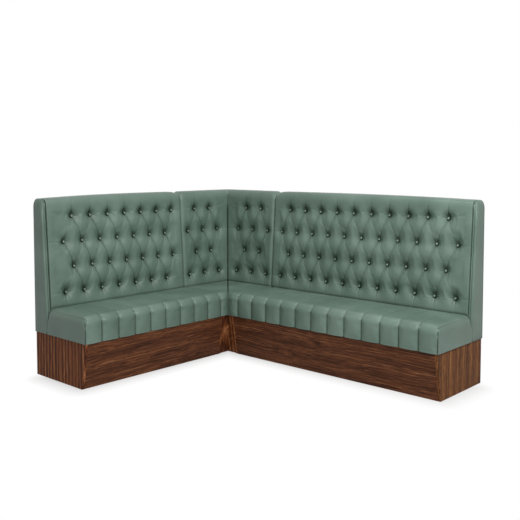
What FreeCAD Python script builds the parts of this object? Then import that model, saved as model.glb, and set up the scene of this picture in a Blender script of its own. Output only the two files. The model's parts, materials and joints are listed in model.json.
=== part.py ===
"""Corner banquette: deep buttoned leather backs and fluted leather seats on a walnut plinth.

The origin is the room corner on the floor. +X runs along the long wall, -Y along the short
wall and +Z is up, all in millimetres. Each piece is first made for the long wall, where x is
the distance along the wall and -y the depth into the room. Pieces of the short wall are the
same shapes mirrored over the corner's diagonal.
"""

import FreeCAD, Part
import math
import os

Vector = FreeCAD.Vector

os.makedirs("parts", exist_ok=True)

# Overall sizes
right_length = 2400.0
left_length = 1900.0
overall_depth = 605.0
corner_return = 45.0
overall_height = 1230.0
seat_height = 470.0
plinth_height = 305.0

# Boards, joints and clearances
panel = 18.0
tuft_board = 12.0
unit_joint = 1.0
soft_gap = 0.3
overrun = 50.0

# Plinth
front_overhang = 10.0
end_overhang = 8.0
toe_setback = 50.0
filler_recess = 10.0
batten = 30.0
right_rib_count = 4
left_rib_count = 3
corner_rib_place = 300.0

# Seats
seat_crown = 6.0
seat_front_round = 28.0
seat_rear_round = 20.0
seat_end_round = 18.0
seat_wadding = 12.0
seat_skin = 3.0
form_clearance = 1.0
flute_depth = 7.0
right_flute_count = 12
left_flute_count = 9
corner_flute_right = 92.0
corner_flute_left = 68.0

# Backs
back_depth_at_seat = 141.0
back_depth_at_top = 91.0
back_foot_depth = 150.0
tuft_rise = 24.0
tuft_edge_round = 22.0
tuft_pleat_end_depth = 2.0
tuft_core_cover = 9.0
back_foam = 20.0
back_top_round = 34.0
back_top_wadding = 12.0
back_belly_rise = 24.0
lining = 1.5
right_upright_count = 5
left_upright_count = 4
corner_upright_place = 200.0
corner_post = 45.0

# Ends of the backs
end_thickness = 30.0
end_wadding = 12.0
end_front_rise = 6.0
end_front_wadding = 10.0
end_edge_round = 10.0
end_top_round = 24.0

# Buttons and their rows
row_count = 4
bottom_row_rise = 105.0
top_row_drop = 127.0
button_radius = 11.0
button_crown_radius = 6.0
button_skirt = 6.0
button_dome = 5.0
dimple_depth = 7.0
dimple_floor_radius = 13.0
dimple_mouth_radius = 32.0
dimple_mouth_rise = 17.0
button_sides = 8
flats_to_crest = 3

# Each back: margins from its edges to the outermost buttons, half pitches between those,
# and whether the top row is one of the rows that reach the corner side
right_near_margin = 84.0
right_far_margin = 98.0
right_half_pitch_count = 20
left_near_margin = 93.0
left_far_margin = 129.0
left_half_pitch_count = 13
corner_near_margin = 104.0
corner_far_margin = 75.0
corner_half_pitch_count = 4

# Bolts that join the units
bolt_radius = 4.0
bolt_hole_radius = 4.5
bolt_head_width = 13.0
bolt_head_height = 5.5
bolt_nut_height = 6.5
bolt_tail = 3.0
plinth_bolt_height = 150.0
plinth_bolt_depth = 430.0
back_bolt_depth = 45.0
back_bolt_drop = 230.0

# Worked out sizes shared by several pieces
corner_length = overall_depth + corner_return
back_bolt_height = overall_height - back_bolt_drop
half_joint = unit_joint / 2
wing_start = corner_length + half_joint
corner_end = corner_length - half_joint
plinth_top_depth = overall_depth - front_overhang
plinth_foot_depth = plinth_top_depth - toe_setback
front_slant = panel * math.hypot(toe_setback, plinth_height) / plinth_height
seat_rear = back_foot_depth + soft_gap
lean_rate = (back_depth_at_seat - back_depth_at_top) / (overall_height - seat_height)
lean = math.atan(lean_rate)
frame_top = overall_height - back_top_wadding
face_length = (overall_height - seat_height) / math.cos(lean)
row_pitch = (face_length - bottom_row_rise - top_row_drop) / (row_count - 1)
rows = [bottom_row_rise + row_pitch * (row_count - 1 - i) for i in range(row_count)]


def save(name, shape):
    """Writes one node."""
    shape.exportStep("parts/" + name + ".step")


def mirrored(shape):
    """The same piece on the short wall."""
    return shape.mirror(Vector(0, 0, 0), Vector(1, 1, 0))


def box(x_range, depth_range, z_range):
    """A block from its ranges along the wall, in depth and in height."""
    size_x = x_range[1] - x_range[0]
    size_y = depth_range[1] - depth_range[0]
    size_z = z_range[1] - z_range[0]
    return Part.makeBox(size_x, size_y, size_z, Vector(x_range[0], -depth_range[1], z_range[0]))


def polygon(points):
    """A flat face with straight sides."""
    return Part.Face(Part.makePolygon(points + points[:1]))


def rounded_polygon(corners):
    """A flat face from (point, radius) corners, with an arc at each corner that has a radius."""
    edges = []
    starts = []
    count = len(corners)
    for i, (point, radius) in enumerate(corners):
        before = (corners[i - 1][0] - point).normalize()
        after = (corners[(i + 1) % count][0] - point).normalize()
        half_turn = before.getAngle(after) / 2
        reach = radius / math.tan(half_turn)
        first = point + before * reach
        last = point + after * reach
        if radius > 0:
            centre = point + (before + after).normalize() * (radius / math.sin(half_turn))
            middle = centre + (point - centre).normalize() * radius
            edges.append(Part.Arc(first, middle, last).toShape())
        starts.append((first, last))
    for i in range(count):
        edges.append(Part.LineSegment(starts[i - 1][1], starts[i][0]).toShape())
    return Part.Face(Part.Wire(Part.__sortEdges__(edges)))


def along_wall(outline, start, end):
    """A solid that runs along the wall with one side outline of (depth, height) points."""
    points = [Vector(start, -depth, height) for depth, height in outline]
    return polygon(points).extrude(Vector(end - start, 0, 0))


def spread(first, last, count):
    """Even places from first to last."""
    return [first + (last - first) * i / (count - 1) for i in range(count)]


def mitre_block(gap, reach, z_range):
    """Upright prism over the long wall's side of the corner diagonal."""
    points = [
        Vector(gap, 0, z_range[0]),
        Vector(reach, 0, z_range[0]),
        Vector(reach, gap - reach, z_range[0]),
    ]
    return polygon(points).extrude(Vector(0, 0, z_range[1] - z_range[0]))


# Plinth


def plinth_front_at(height):
    """Depth of the sloping plinth front at a height."""
    return plinth_foot_depth + toe_setback * height / plinth_height


def sloped_outline(setback):
    """Side outline of a sloping front board, set back from the plinth's face."""
    foot = plinth_foot_depth - setback
    top = plinth_top_depth - setback
    return [(foot, 0), (top, plinth_height), (top - front_slant, plinth_height), (foot - front_slant, 0)]


def plinth_front(length):
    """Sloping front board of a wing, with its grain running along the wall."""
    return along_wall(sloped_outline(0), wing_start, length - end_overhang - panel)


def plinth_end_board(start):
    """Full depth board whose sloping front edge shows."""
    outline = [(0, 0), (plinth_foot_depth, 0), (plinth_top_depth, plinth_height), (0, plinth_height)]
    return along_wall(outline, start, start + panel)


def plinth_rear_rail(length):
    """Board along the wall under a wing."""
    return box((wing_start, length - end_overhang - panel), (0, panel), (0, plinth_height))


def plinth_rib(start):
    """Cross board of a wing, notched at the top for both battens."""
    notch = plinth_height - batten
    inner = [plinth_front_at(height) - front_slant for height in (0, notch, plinth_height)]
    outline = [
        (panel, 0),
        (inner[0], 0),
        (inner[1], notch),
        (inner[2] - batten, notch),
        (inner[2] - batten, plinth_height),
        (panel + batten, plinth_height),
        (panel + batten, notch),
        (panel, notch),
    ]
    return along_wall(outline, start, start + panel)


def plinth_ribs(length, count):
    """Cross boards of a wing: the first closes the unit against the corner and is drilled."""
    last = length - end_overhang - panel
    step = (last - wing_start) / count
    ribs = [plinth_rib(wing_start + step * i) for i in range(count)]
    ribs[0] = ribs[0].cut(bolt_holes(plinth_bolt_places()))
    return Part.makeCompound(ribs)


def plinth_battens(length):
    """Rear and front battens that the seat board is screwed to, the front one bevelled."""
    end = length - end_overhang - panel
    notch = plinth_height - batten
    inner_low = plinth_front_at(notch) - front_slant
    inner_top = plinth_top_depth - front_slant
    rear = box((wing_start, end), (panel, panel + batten), (notch, plinth_height))
    outline = [
        (inner_top - batten, notch),
        (inner_low, notch),
        (inner_top, plinth_height),
        (inner_top - batten, plinth_height),
    ]
    front = along_wall(outline, wing_start, end)
    return Part.makeCompound([rear, front])


def corner_filler():
    """Narrow board at the inner corner, mitred on the diagonal."""
    board = along_wall(sloped_outline(filler_recess), 0, corner_end - panel)
    return board.common(mitre_block(0, corner_length, (0, plinth_height)))


# Bolts


def plinth_bolt_places():
    """Depth and height of the bolt between two plinths."""
    return [(plinth_bolt_depth, plinth_bolt_height)]


def back_bolt_places():
    """Depth and height of the bolt high between two back frames."""
    return [(back_bolt_depth, back_bolt_height)]


def bolt_holes(places):
    """Cutters for the clearance holes through the two boards at a unit joint."""
    start = corner_end - panel - overrun
    length = unit_joint + panel * 2 + overrun * 2
    along = Vector(1, 0, 0)
    holes = [
        Part.makeCylinder(bolt_hole_radius, length, Vector(start, -depth, height), along)
        for depth, height in places
    ]
    return Part.makeCompound(holes)


def hexagon(width, start, height_along, depth, height):
    """Six sided block along the wall, sized across its flats."""
    radius = width / math.sqrt(3)
    points = []
    for i in range(6):
        angle = math.radians(60 * i)
        points.append(Vector(start, -depth + radius * math.cos(angle), height + radius * math.sin(angle)))
    return polygon(points).extrude(Vector(height_along, 0, 0))


def joint_bolt(depth, height):
    """Hexagon bolt through both boards of a unit joint."""
    head_start = corner_end - panel - bolt_head_height
    shank = panel * 2 + unit_joint + bolt_nut_height + bolt_tail
    place = Vector(corner_end - panel, -depth, height)
    head = hexagon(bolt_head_width, head_start, bolt_head_height, depth, height)
    return head.fuse(Part.makeCylinder(bolt_radius, shank, place, Vector(1, 0, 0)))


def joint_nut(depth, height):
    """Nut on the wing's side of a unit joint."""
    start = wing_start + panel
    block = hexagon(bolt_head_width, start, bolt_nut_height, depth, height)
    place = Vector(start, -depth, height)
    return block.cut(Part.makeCylinder(bolt_radius, bolt_nut_height, place, Vector(1, 0, 0)))


# Seats


def seat_side_outline():
    """Side section of a seat: upright front, rolled front edge and a low crown to the rear.

    Its upright front stands just clear of the flutes' crests, which the plan outline shapes.
    """
    front = -overall_depth - form_clearance
    rear = -seat_rear
    top = seat_height
    bend = seat_front_round * (1 - math.sqrt(2) / 2)
    rear_bend = seat_rear_round * (1 - math.sqrt(2) / 2)
    front_low = Vector(0, front, top - seat_front_round)
    front_mid = Vector(0, front + bend, top - bend)
    front_high = Vector(0, front + seat_front_round, top)
    crown_rear = Vector(0, rear - seat_rear_round, top)
    crown_mid = (front_high + crown_rear) / 2 + Vector(0, 0, seat_crown)
    rear_mid = Vector(0, rear - rear_bend, top - rear_bend)
    rear_low = Vector(0, rear, top - seat_rear_round)
    foot_rear = Vector(0, rear, plinth_height)
    foot_front = Vector(0, front, plinth_height)
    edges = [
        Part.LineSegment(foot_front, front_low),
        Part.Arc(front_low, front_mid, front_high),
        Part.Arc(front_high, crown_mid, crown_rear),
        Part.Arc(crown_rear, rear_mid, rear_low),
        Part.LineSegment(rear_low, foot_rear),
        Part.LineSegment(foot_rear, foot_front),
    ]
    return Part.Face(Part.Wire([edge.toShape() for edge in edges]))


def flute_seams(length, count, corner_flute):
    """Places of the seams of a fluted front, from the far end to the inner corner."""
    first = overall_depth + corner_flute
    return [length - (length - first) * i / count for i in range(count + 1)]


def seat_plan(length, count, corner_flute):
    """Seat outline from above: scalloped front, mitred corner end and a square far end."""
    valley = -(overall_depth - flute_depth)
    seams = flute_seams(length, count, corner_flute)
    mitre_front = Vector(-valley + soft_gap, valley, 0)
    mitre_rear = Vector(seat_rear + soft_gap, -seat_rear, 0)
    points = [Vector(place, valley, 0) for place in seams] + [mitre_front]
    edges = []
    for first, last in zip(points, points[1:]):
        crest = (first + last) / 2 - Vector(0, flute_depth, 0)
        edges.append(Part.Arc(first, crest, last).toShape())
    corners = [points[-1], mitre_rear, Vector(length, -seat_rear, 0), points[0]]
    for first, last in zip(corners, corners[1:]):
        edges.append(Part.LineSegment(first, last).toShape())
    return Part.Face(Part.Wire(edges))


def seat_form(length, count, corner_flute):
    """Outside of a covered seat: its side, plan and front outlines in common."""
    top = seat_height + seat_crown + form_clearance
    side = seat_side_outline().extrude(Vector(length + overrun, 0, 0))
    plan = seat_plan(length, count, corner_flute).extrude(Vector(0, 0, top + overrun))
    ends = rounded_polygon(
        [
            (Vector(0, 0, plinth_height), 0),
            (Vector(length, 0, plinth_height), 0),
            (Vector(length, 0, top), seat_end_round),
            (Vector(0, 0, top), 0),
        ]
    ).extrude(Vector(0, -overall_depth - overrun, 0))
    return side.common(plan).common(ends)


def seat_inside(length, z_range):
    """Room inside a seat cover, between two heights."""
    low = z_range[0]
    rear = seat_rear + seat_skin
    front = overall_depth - flute_depth - seat_wadding
    mitre = soft_gap + seat_skin * math.sqrt(2)
    end = length - seat_wadding
    points = [
        Vector(rear + mitre, -rear, low),
        Vector(end, -rear, low),
        Vector(end, -front, low),
        Vector(front + mitre, -front, low),
    ]
    return polygon(points).extrude(Vector(0, 0, z_range[1] - low))


# Backs


def face_depth(offset, height):
    """Depth of a plane parallel to the leaning back, set off from the fold lines' plane."""
    return back_depth_at_seat + offset - lean_rate * (height - seat_height)


def back_envelope(start, end):
    """Outermost side section of a back: straight foot, belly over the seat, rolled top edge."""
    crest_low = seat_height + back_belly_rise
    top = overall_height
    corners = [
        (Vector(start, 0, plinth_height), 0),
        (Vector(start, -back_foot_depth, plinth_height), 0),
        (Vector(start, -back_foot_depth, seat_height + seat_crown), 0),
        (Vector(start, -face_depth(tuft_rise, crest_low), crest_low), tuft_rise),
        (Vector(start, -face_depth(tuft_rise, top), top), back_top_round),
        (Vector(start, 0, top), 0),
    ]
    return rounded_polygon(corners).extrude(Vector(end - start, 0, 0))


class ButtonField:
    """Places of one back's buttons and the radii of the folds between them."""

    def __init__(self, near, far, margins, half_pitches, top_row_outside):
        self.near = near
        self.far = far
        self.first = near + margins[0]
        self.last = far - margins[1]
        self.half_pitches = half_pitches
        self.half = (self.last - self.first) / half_pitches
        self.pitch = self.half * 2
        self.top_row_outside = top_row_outside
        self.angle = math.atan(self.half / row_pitch)
        self.rib = self.pitch * math.cos(self.angle)
        self.radius = ((self.rib / 2) ** 2 + tuft_rise**2) / (2 * tuft_rise)

    def outside_rows(self, at_far_end):
        """Heights of the rows whose last button is outermost at one side."""
        even = self.top_row_outside
        if at_far_end and self.half_pitches % 2 == 1:
            even = not even
        return [rows[i] for i in range(row_count) if (i % 2 == 0) == even]

    def columns(self, row):
        """Places of one row's buttons along the wall."""
        shift = 0 if (row % 2 == 0) == self.top_row_outside else 1
        return [self.first + self.half * i for i in range(shift, self.half_pitches + 1, 2)]


def ridge_profile(valleys, reach, start, end, along, stretch, field):
    """Side by side crowned ridges over a deep base, in the plane of one direction and +Z.

    The ridges meet in the valleys and run level past the outermost crests. Each is a round
    ridge whose arc is divided into flats; a stretch over 1 is how much a slanting cut widens it.
    """
    turn = math.asin(field.rib / 2 / field.radius)
    fall = []
    for i in range(flats_to_crest + 1):
        angle = turn * i / flats_to_crest
        drop = field.radius * (1 - math.cos(angle))
        fall.append((field.radius * math.sin(angle) * stretch, tuft_rise - drop))
    rise = fall[::-1]
    left_crest = valleys[0] - fall[-1][0]
    right_crest = valleys[-1] + fall[-1][0]
    places = [(left_crest + across, height) for across, height in fall]
    for first, last in zip(valleys, valleys[1:]):
        crest = (first + last) / 2
        places += [(crest - across, height) for across, height in rise[1:]]
        places += [(crest + across, height) for across, height in fall[1:]]
    places += [(right_crest - across, height) for across, height in rise[1:]]
    if start < left_crest:
        places.insert(0, (start, tuft_rise))
    if end > right_crest:
        places.append((end, tuft_rise))
    places += [(places[-1][0], -reach), (places[0][0], -reach)]
    return polygon([along * place + Vector(0, 0, height) for place, height in places])


def diagonal_ridges(field, lean_sign, reach):
    """Crowned ridges between the folds that run one diagonal way through the buttons."""
    span = math.hypot(field.far - field.near + overrun, face_length + overrun)
    count = math.ceil(span / field.rib) + 1
    valleys = [field.rib * i for i in range(-count, count + 1)]
    profile = ridge_profile(valleys, reach, valleys[0], valleys[-1], Vector(1, 0, 0), 1, field)
    profile.translate(Vector(0, -span, 0))
    ridges = profile.extrude(Vector(0, span * 2, 0))
    ridges.rotate(Vector(0, 0, 0), Vector(0, 0, 1), math.degrees(field.angle) * lean_sign)
    row = 0 if field.top_row_outside else 1
    ridges.translate(Vector(field.first, rows[row], 0))
    return ridges


def slab(x_range, y_range, reach):
    """Plain block of the back's thickness over part of its face."""
    size = Vector(x_range[1] - x_range[0], y_range[1] - y_range[0], reach + tuft_rise)
    return Part.makeBox(size.x, size.y, size.z, Vector(x_range[0], y_range[0], -reach))


def tufted_face(field, low, high, reach):
    """Deep buttoned face laid flat: x along the wall, y up the face and z out of it.

    Diamond pillows lie between the outermost buttons. From the bottom row a pleat runs straight
    to the edge, from the top row one dies out below the roll, and from the outermost buttons one
    runs to each side.
    """
    top_row = rows[0]
    low_row = rows[-1]
    full = (field.near, field.far)
    core = slab((field.first, field.last), (low_row, top_row), reach)
    core = core.common(diagonal_ridges(field, -1, reach)).common(diagonal_ridges(field, 1, reach))
    pieces = [core]

    def upright_ridges(row, y_range):
        valleys = field.columns(row)
        stretch = 1 / math.cos(field.angle)
        profile = ridge_profile(valleys, reach, full[0], full[1], Vector(1, 0, 0), stretch, field)
        profile.translate(Vector(0, y_range[0], 0))
        return profile.extrude(Vector(0, y_range[1] - y_range[0], 0))

    def level_ridges(at_far_end, x_range):
        valleys = sorted(field.outside_rows(at_far_end))
        stretch = 1 / math.sin(field.angle)
        profile = ridge_profile(valleys, reach, low, high, Vector(0, 1, 0), stretch, field)
        profile.translate(Vector(x_range[0], 0, 0))
        return profile.extrude(Vector(x_range[1] - x_range[0], 0, 0))

    above = upright_ridges(0, (top_row, high))
    below = upright_ridges(row_count - 1, (low, low_row))
    middle = (field.first, field.last)
    pieces.append(above.common(slab(middle, (top_row, high), reach)))
    pieces.append(below.common(slab(middle, (low, low_row), reach)))
    for at_far_end, side in ((False, (full[0], middle[0])), (True, (middle[1], full[1]))):
        ridges = level_ridges(at_far_end, side)
        pieces.append(ridges.common(slab(side, (low_row, top_row), reach)))
        pieces.append(ridges.common(above))
        pieces.append(ridges.common(below))
    pieces.append(pleat_ramp(field, high, reach))
    return pieces[0].fuse(pieces[1:])


def pleat_ramp(field, high, reach):
    """Wadding that rises from the top row's folds, so that the pleats die out below the roll."""
    ramp_end = face_length - back_top_round
    level = tuft_rise - tuft_pleat_end_depth
    points = [
        Vector(field.near, rows[0], 0),
        Vector(field.near, ramp_end, level),
        Vector(field.near, high, level),
        Vector(field.near, high, -reach),
        Vector(field.near, rows[0], -reach),
    ]
    return polygon(points).extrude(Vector(field.far - field.near, 0, 0))


def eight_sided(radius, place, level):
    """Points of a level outline with eight sides round a button's place."""
    turn = 2 * math.pi / button_sides
    return [
        Vector(place.x + radius * math.cos(turn * i), place.y + radius * math.sin(turn * i), level)
        for i in range(button_sides)
    ]


def stacked(outlines):
    """Solid with flat sides through level outlines that have as many points each."""
    faces = [polygon(outlines[0]), polygon(outlines[-1])]
    for low, high in zip(outlines, outlines[1:]):
        for i in range(len(low)):
            faces.append(polygon([low[i - 1], low[i], high[i], high[i - 1]]))
    return Part.Solid(Part.Shell(faces))


def button_places(field):
    """Places of all the buttons of one back, on its flat face."""
    return [Vector(x, rows[row], 0) for row in range(row_count) for x in field.columns(row)]


def dimple(place):
    """Cutter for the funnel that a button is pulled down into."""
    floor = eight_sided(dimple_floor_radius, place, -dimple_depth)
    mouth = eight_sided(dimple_mouth_radius, place, dimple_mouth_rise)
    return stacked([floor, mouth])


def button(place):
    """Covered button with a low dome, seated on its dimple's floor."""
    skirt_top = button_skirt - dimple_depth
    sections = [
        eight_sided(button_radius, place, -dimple_depth),
        eight_sided(button_radius, place, skirt_top),
        eight_sided(button_crown_radius, place, skirt_top + button_dome),
    ]
    return stacked(sections)


def stood_up(shape):
    """Turns a shape made on the flat face to the back's lean and place."""
    turned = shape.copy()
    turned.rotate(Vector(0, 0, 0), Vector(1, 0, 0), 90 - math.degrees(lean))
    turned.translate(Vector(0, -back_depth_at_seat, seat_height))
    return turned


def edge_rolls(field, low, high, reach, near_roll, far_roll):
    """Flat block whose upright edges are rolled over where a back meets its neighbour."""
    corners = [
        (Vector(field.near, low, -reach), 0),
        (Vector(field.far, low, -reach), 0),
        (Vector(field.far, low, tuft_rise), far_roll),
        (Vector(field.near, low, tuft_rise), near_roll),
    ]
    return rounded_polygon(corners).extrude(Vector(0, high - low, 0))


def back_cover(field, near_roll):
    """Leather cover with its wadding: tufted face, foot behind the seat and wrap over the top."""
    reach = back_depth_at_seat + overrun
    low = (plinth_height - seat_height) / math.cos(lean) - overrun
    high = face_length + overrun
    flat = tufted_face(field, low, high, reach)
    flat = flat.common(edge_rolls(field, low, high, reach, near_roll, tuft_edge_round))
    flat = flat.cut(Part.makeCompound([dimple(place) for place in button_places(field)]))
    cover = stood_up(flat).common(back_envelope(field.near, field.far))
    inside = back_slice(-overrun, core_face, (plinth_height - overrun, frame_top), field)
    return cover.cut(inside)


# Offset of each layer behind the fold lines' plane
core_face = -tuft_core_cover
board_face = core_face - back_foam
frame_face = board_face - tuft_board


def back_slice(rear, front_offset, z_range, field):
    """Straight layer of a back between a rear depth and a plane parallel to its face."""
    low, high = z_range
    outline = [
        (rear, low),
        (face_depth(front_offset, low), low),
        (face_depth(front_offset, high), high),
        (rear, high),
    ]
    return along_wall(outline, field.near, field.far)


def back_layer(rear_offset, front_offset, z_range, field):
    """Leaning sheet between two planes parallel to the back's face."""
    low, high = z_range
    outline = [
        (face_depth(rear_offset, low), low),
        (face_depth(front_offset, low), low),
        (face_depth(front_offset, high), high),
        (face_depth(rear_offset, high), high),
    ]
    return along_wall(outline, field.near, field.far)


def back_upright(start):
    """Wedge shaped board that gives the back its lean."""
    low = plinth_height + panel
    high = frame_top - panel
    outline = [
        (lining, low),
        (face_depth(frame_face, low), low),
        (face_depth(frame_face, high), high),
        (lining, high),
    ]
    return along_wall(outline, start, start + panel)


def wing_uprights(field, count):
    """Uprights of a wing, the first drilled for the bolts to the corner unit."""
    boards = [back_upright(place) for place in spread(field.near, field.far - panel, count)]
    boards[0] = boards[0].cut(bolt_holes(back_bolt_places()))
    return Part.makeCompound(boards)


def corner_uprights():
    """Two uprights of one corner back, the outer one drilled."""
    outer = back_upright(corner_end - panel).cut(bolt_holes(back_bolt_places()))
    return [back_upright(corner_upright_place), outer]


# Ends of the backs


def end_form(length):
    """Outside of the padded end of a back, with its edges rolled over."""
    start = length - end_thickness
    top = overall_height
    lean_start = seat_height + (back_depth_at_seat + end_front_rise - back_foot_depth) / lean_rate
    corners = [
        (Vector(start, 0, plinth_height), 0),
        (Vector(start, -back_foot_depth, plinth_height), 0),
        (Vector(start, -back_foot_depth, lean_start), 0),
        (Vector(start, -face_depth(end_front_rise, top), top), back_top_round),
        (Vector(start, 0, top), 0),
    ]
    block = rounded_polygon(corners).extrude(Vector(end_thickness, 0, 0))
    front_view = rounded_polygon(
        [
            (Vector(start, 0, plinth_height), 0),
            (Vector(length, 0, plinth_height), 0),
            (Vector(length, 0, top), end_top_round),
            (Vector(start, 0, top), 0),
        ]
    ).extrude(Vector(0, -overall_depth, 0))
    flat_top = face_length + overrun
    flat_low = (plinth_height - seat_height) / math.cos(lean) - overrun
    rolled = rounded_polygon(
        [
            (Vector(start, flat_low, -back_depth_at_seat - overrun), 0),
            (Vector(length, flat_low, -back_depth_at_seat - overrun), 0),
            (Vector(length, flat_low, end_front_rise), end_edge_round),
            (Vector(start, flat_low, end_front_rise), 0),
        ]
    ).extrude(Vector(0, flat_top - flat_low, 0))
    upper = block.common(front_view)
    lower = box((start, length), (0, back_foot_depth), (plinth_height, seat_height))
    return upper.common(stood_up(rolled).fuse(lower))


def end_gable(length):
    """Wedge shaped board inside a back's end."""
    offset = end_front_rise - end_front_wadding
    foot = back_foot_depth - end_front_wadding
    bend = seat_height + (back_depth_at_seat + offset - foot) / lean_rate
    outline = [
        (0, plinth_height),
        (foot, plinth_height),
        (foot, bend),
        (face_depth(offset, frame_top) - back_top_round / 2, frame_top),
        (0, frame_top),
    ]
    return along_wall(outline, length - end_thickness, length - end_wadding)


# The plinths
for side, length, ribs, place in (
    ("right", right_length, right_rib_count, lambda shape: shape),
    ("left", left_length, left_rib_count, mirrored),
):
    save("plinth_front_" + side, place(plinth_front(length)))
    save("plinth_end_" + side, place(plinth_end_board(length - end_overhang - panel)))
    save("plinth_rear_rail_" + side, place(plinth_rear_rail(length)))
    save("plinth_ribs_" + side, place(plinth_ribs(length, ribs)))
    save("plinth_battens_" + side, place(plinth_battens(length)))
    corner_board = plinth_end_board(corner_end - panel).cut(bolt_holes(plinth_bolt_places()))
    save("corner_end_board_" + side, place(corner_board))
    save("corner_filler_" + side, place(corner_filler()))

corner_rail_right = box((0, corner_end - panel), (0, panel), (0, plinth_height))
corner_rail_left = box((panel, corner_end - panel), (0, panel), (0, plinth_height))
corner_rib = box(
    (panel, corner_end - panel),
    (corner_rib_place, corner_rib_place + panel),
    (0, plinth_height),
)
save("corner_rear_rail_right", corner_rail_right)
save("corner_rear_rail_left", mirrored(corner_rail_left))
save("corner_rib", corner_rib)

# The seats
for side, length, count, flute, place in (
    ("right", right_length, right_flute_count, corner_flute_right, lambda shape: shape),
    ("left", left_length, left_flute_count, corner_flute_left, mirrored),
):
    board_top = plinth_height + panel
    foam_top = seat_height - seat_wadding
    cover = seat_form(length, count, flute).cut(seat_inside(length, (plinth_height, foam_top)))
    save("seat_cover_" + side, place(cover))
    save("seat_foam_" + side, place(seat_inside(length, (board_top, foam_top))))
    save("seat_board_" + side, place(seat_inside(length, (plinth_height, board_top))))

# The backs
right_field = ButtonField(
    wing_start,
    right_length - end_thickness,
    (right_near_margin, right_far_margin),
    right_half_pitch_count,
    False,
)
left_field = ButtonField(
    wing_start,
    left_length - end_thickness,
    (left_near_margin, left_far_margin),
    left_half_pitch_count,
    True,
)
corner_field = ButtonField(
    0,
    corner_end,
    (back_depth_at_seat + corner_near_margin, corner_far_margin),
    corner_half_pitch_count,
    False,
)
corner_side = mitre_block(soft_gap, corner_length, (plinth_height, overall_height + tuft_rise))
all_heights = (plinth_height, frame_top)
foot_heights = (plinth_height, plinth_height + panel)
head_heights = (frame_top - panel, frame_top)


def back_pieces(field):
    """Layers of one back that run its whole length."""
    return {
        "back_bottom_rail": back_slice(lining, frame_face, foot_heights, field),
        "back_top_rail": back_slice(lining, frame_face, head_heights, field),
        "back_board": back_layer(frame_face, board_face, all_heights, field),
        "back_foam": back_layer(board_face, core_face, all_heights, field),
        "back_lining": box((field.near, field.far), (0, lining), all_heights),
    }


def field_buttons(field):
    """All the buttons of one back."""
    return [stood_up(button(place)) for place in button_places(field)]


for name, field, count, place in (
    ("right", right_field, right_upright_count, lambda shape: shape),
    ("left", left_field, left_upright_count, mirrored),
):
    for piece, shape in back_pieces(field).items():
        save(piece + "_" + name, place(shape))
    save("back_cover_" + name, place(back_cover(field, tuft_edge_round)))
    save("back_uprights_" + name, place(wing_uprights(field, count)))
    save("back_buttons_" + name, place(Part.makeCompound(field_buttons(field))))

corner_cover = back_cover(corner_field, 0).common(corner_side)
corner_shapes = {
    piece: shape.common(corner_side) for piece, shape in back_pieces(corner_field).items()
}
corner_shapes["back_cover"] = corner_cover
for name, place in (("right", lambda shape: shape), ("left", mirrored)):
    for piece, shape in corner_shapes.items():
        save(piece + "_corner_" + name, place(shape))
uprights = corner_uprights()
buttons = field_buttons(corner_field)
save("back_uprights_corner", Part.makeCompound(uprights + [mirrored(s) for s in uprights]))
save("back_buttons_corner", Part.makeCompound(buttons + [mirrored(s) for s in buttons]))
post_range = (lining, lining + corner_post)
post = box(post_range, post_range, (plinth_height + panel, frame_top - panel))
save("back_corner_post", post)

# The padded ends
for side, length, place in (
    ("right", right_length, lambda shape: shape),
    ("left", left_length, mirrored),
):
    gable = end_gable(length)
    save("back_gable_" + side, place(gable))
    save("back_end_cover_" + side, place(end_form(length).cut(gable)))

# The bolts between the units
places = plinth_bolt_places() + back_bolt_places()
bolts = [joint_bolt(depth, height) for depth, height in places]
nuts = [joint_nut(depth, height) for depth, height in places]
save("joint_bolts", Part.makeCompound(bolts + [mirrored(shape) for shape in bolts]))
save("joint_nuts", Part.makeCompound(nuts + [mirrored(shape) for shape in nuts]))
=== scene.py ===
# %% [markdown]
# # A corner banquette in sage leather and walnut
# The real bench stands in a cafe. It has a veneered plinth, fluted seats and deep buttoned
# backs. Its boards come finished from the construction model, and only need a finish. Its
# leather is made here, because leather swells, folds and wrinkles, and a plain solid can't.
# Every size below is read from the construction model where it has one.

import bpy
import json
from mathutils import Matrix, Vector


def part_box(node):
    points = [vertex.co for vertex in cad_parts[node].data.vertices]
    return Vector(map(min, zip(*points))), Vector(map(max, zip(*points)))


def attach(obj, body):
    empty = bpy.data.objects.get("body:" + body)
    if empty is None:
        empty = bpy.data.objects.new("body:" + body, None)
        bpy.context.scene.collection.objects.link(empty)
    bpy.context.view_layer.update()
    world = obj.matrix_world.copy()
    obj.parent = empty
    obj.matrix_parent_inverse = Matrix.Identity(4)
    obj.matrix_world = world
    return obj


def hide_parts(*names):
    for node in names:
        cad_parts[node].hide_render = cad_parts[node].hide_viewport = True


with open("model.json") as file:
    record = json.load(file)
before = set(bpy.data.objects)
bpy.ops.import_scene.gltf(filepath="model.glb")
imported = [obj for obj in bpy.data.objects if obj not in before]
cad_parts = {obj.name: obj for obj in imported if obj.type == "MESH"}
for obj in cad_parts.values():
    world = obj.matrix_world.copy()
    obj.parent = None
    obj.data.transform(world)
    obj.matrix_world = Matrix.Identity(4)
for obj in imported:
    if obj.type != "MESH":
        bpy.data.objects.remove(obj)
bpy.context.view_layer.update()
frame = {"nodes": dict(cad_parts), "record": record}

# %% [markdown]
# Lengths are in metres, as Blender has them. Small ones read better as a number of
# millimetres, so one name turns millimetres into metres.

# %% Tools and units
import json
import math

import bmesh
import bpy
import numpy as np
from mathutils import Matrix, Vector, noise

mm = 0.001
photo_pixels = 520

# %% [markdown]
# ## The view
# The camera stands where the photographer stood, level with the backs' upper part and turned
# towards the inner corner. The picture was cropped low, so the lens has a small shift instead of
# a steeper tilt, which keeps the upright edges as they are in the photograph.

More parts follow.
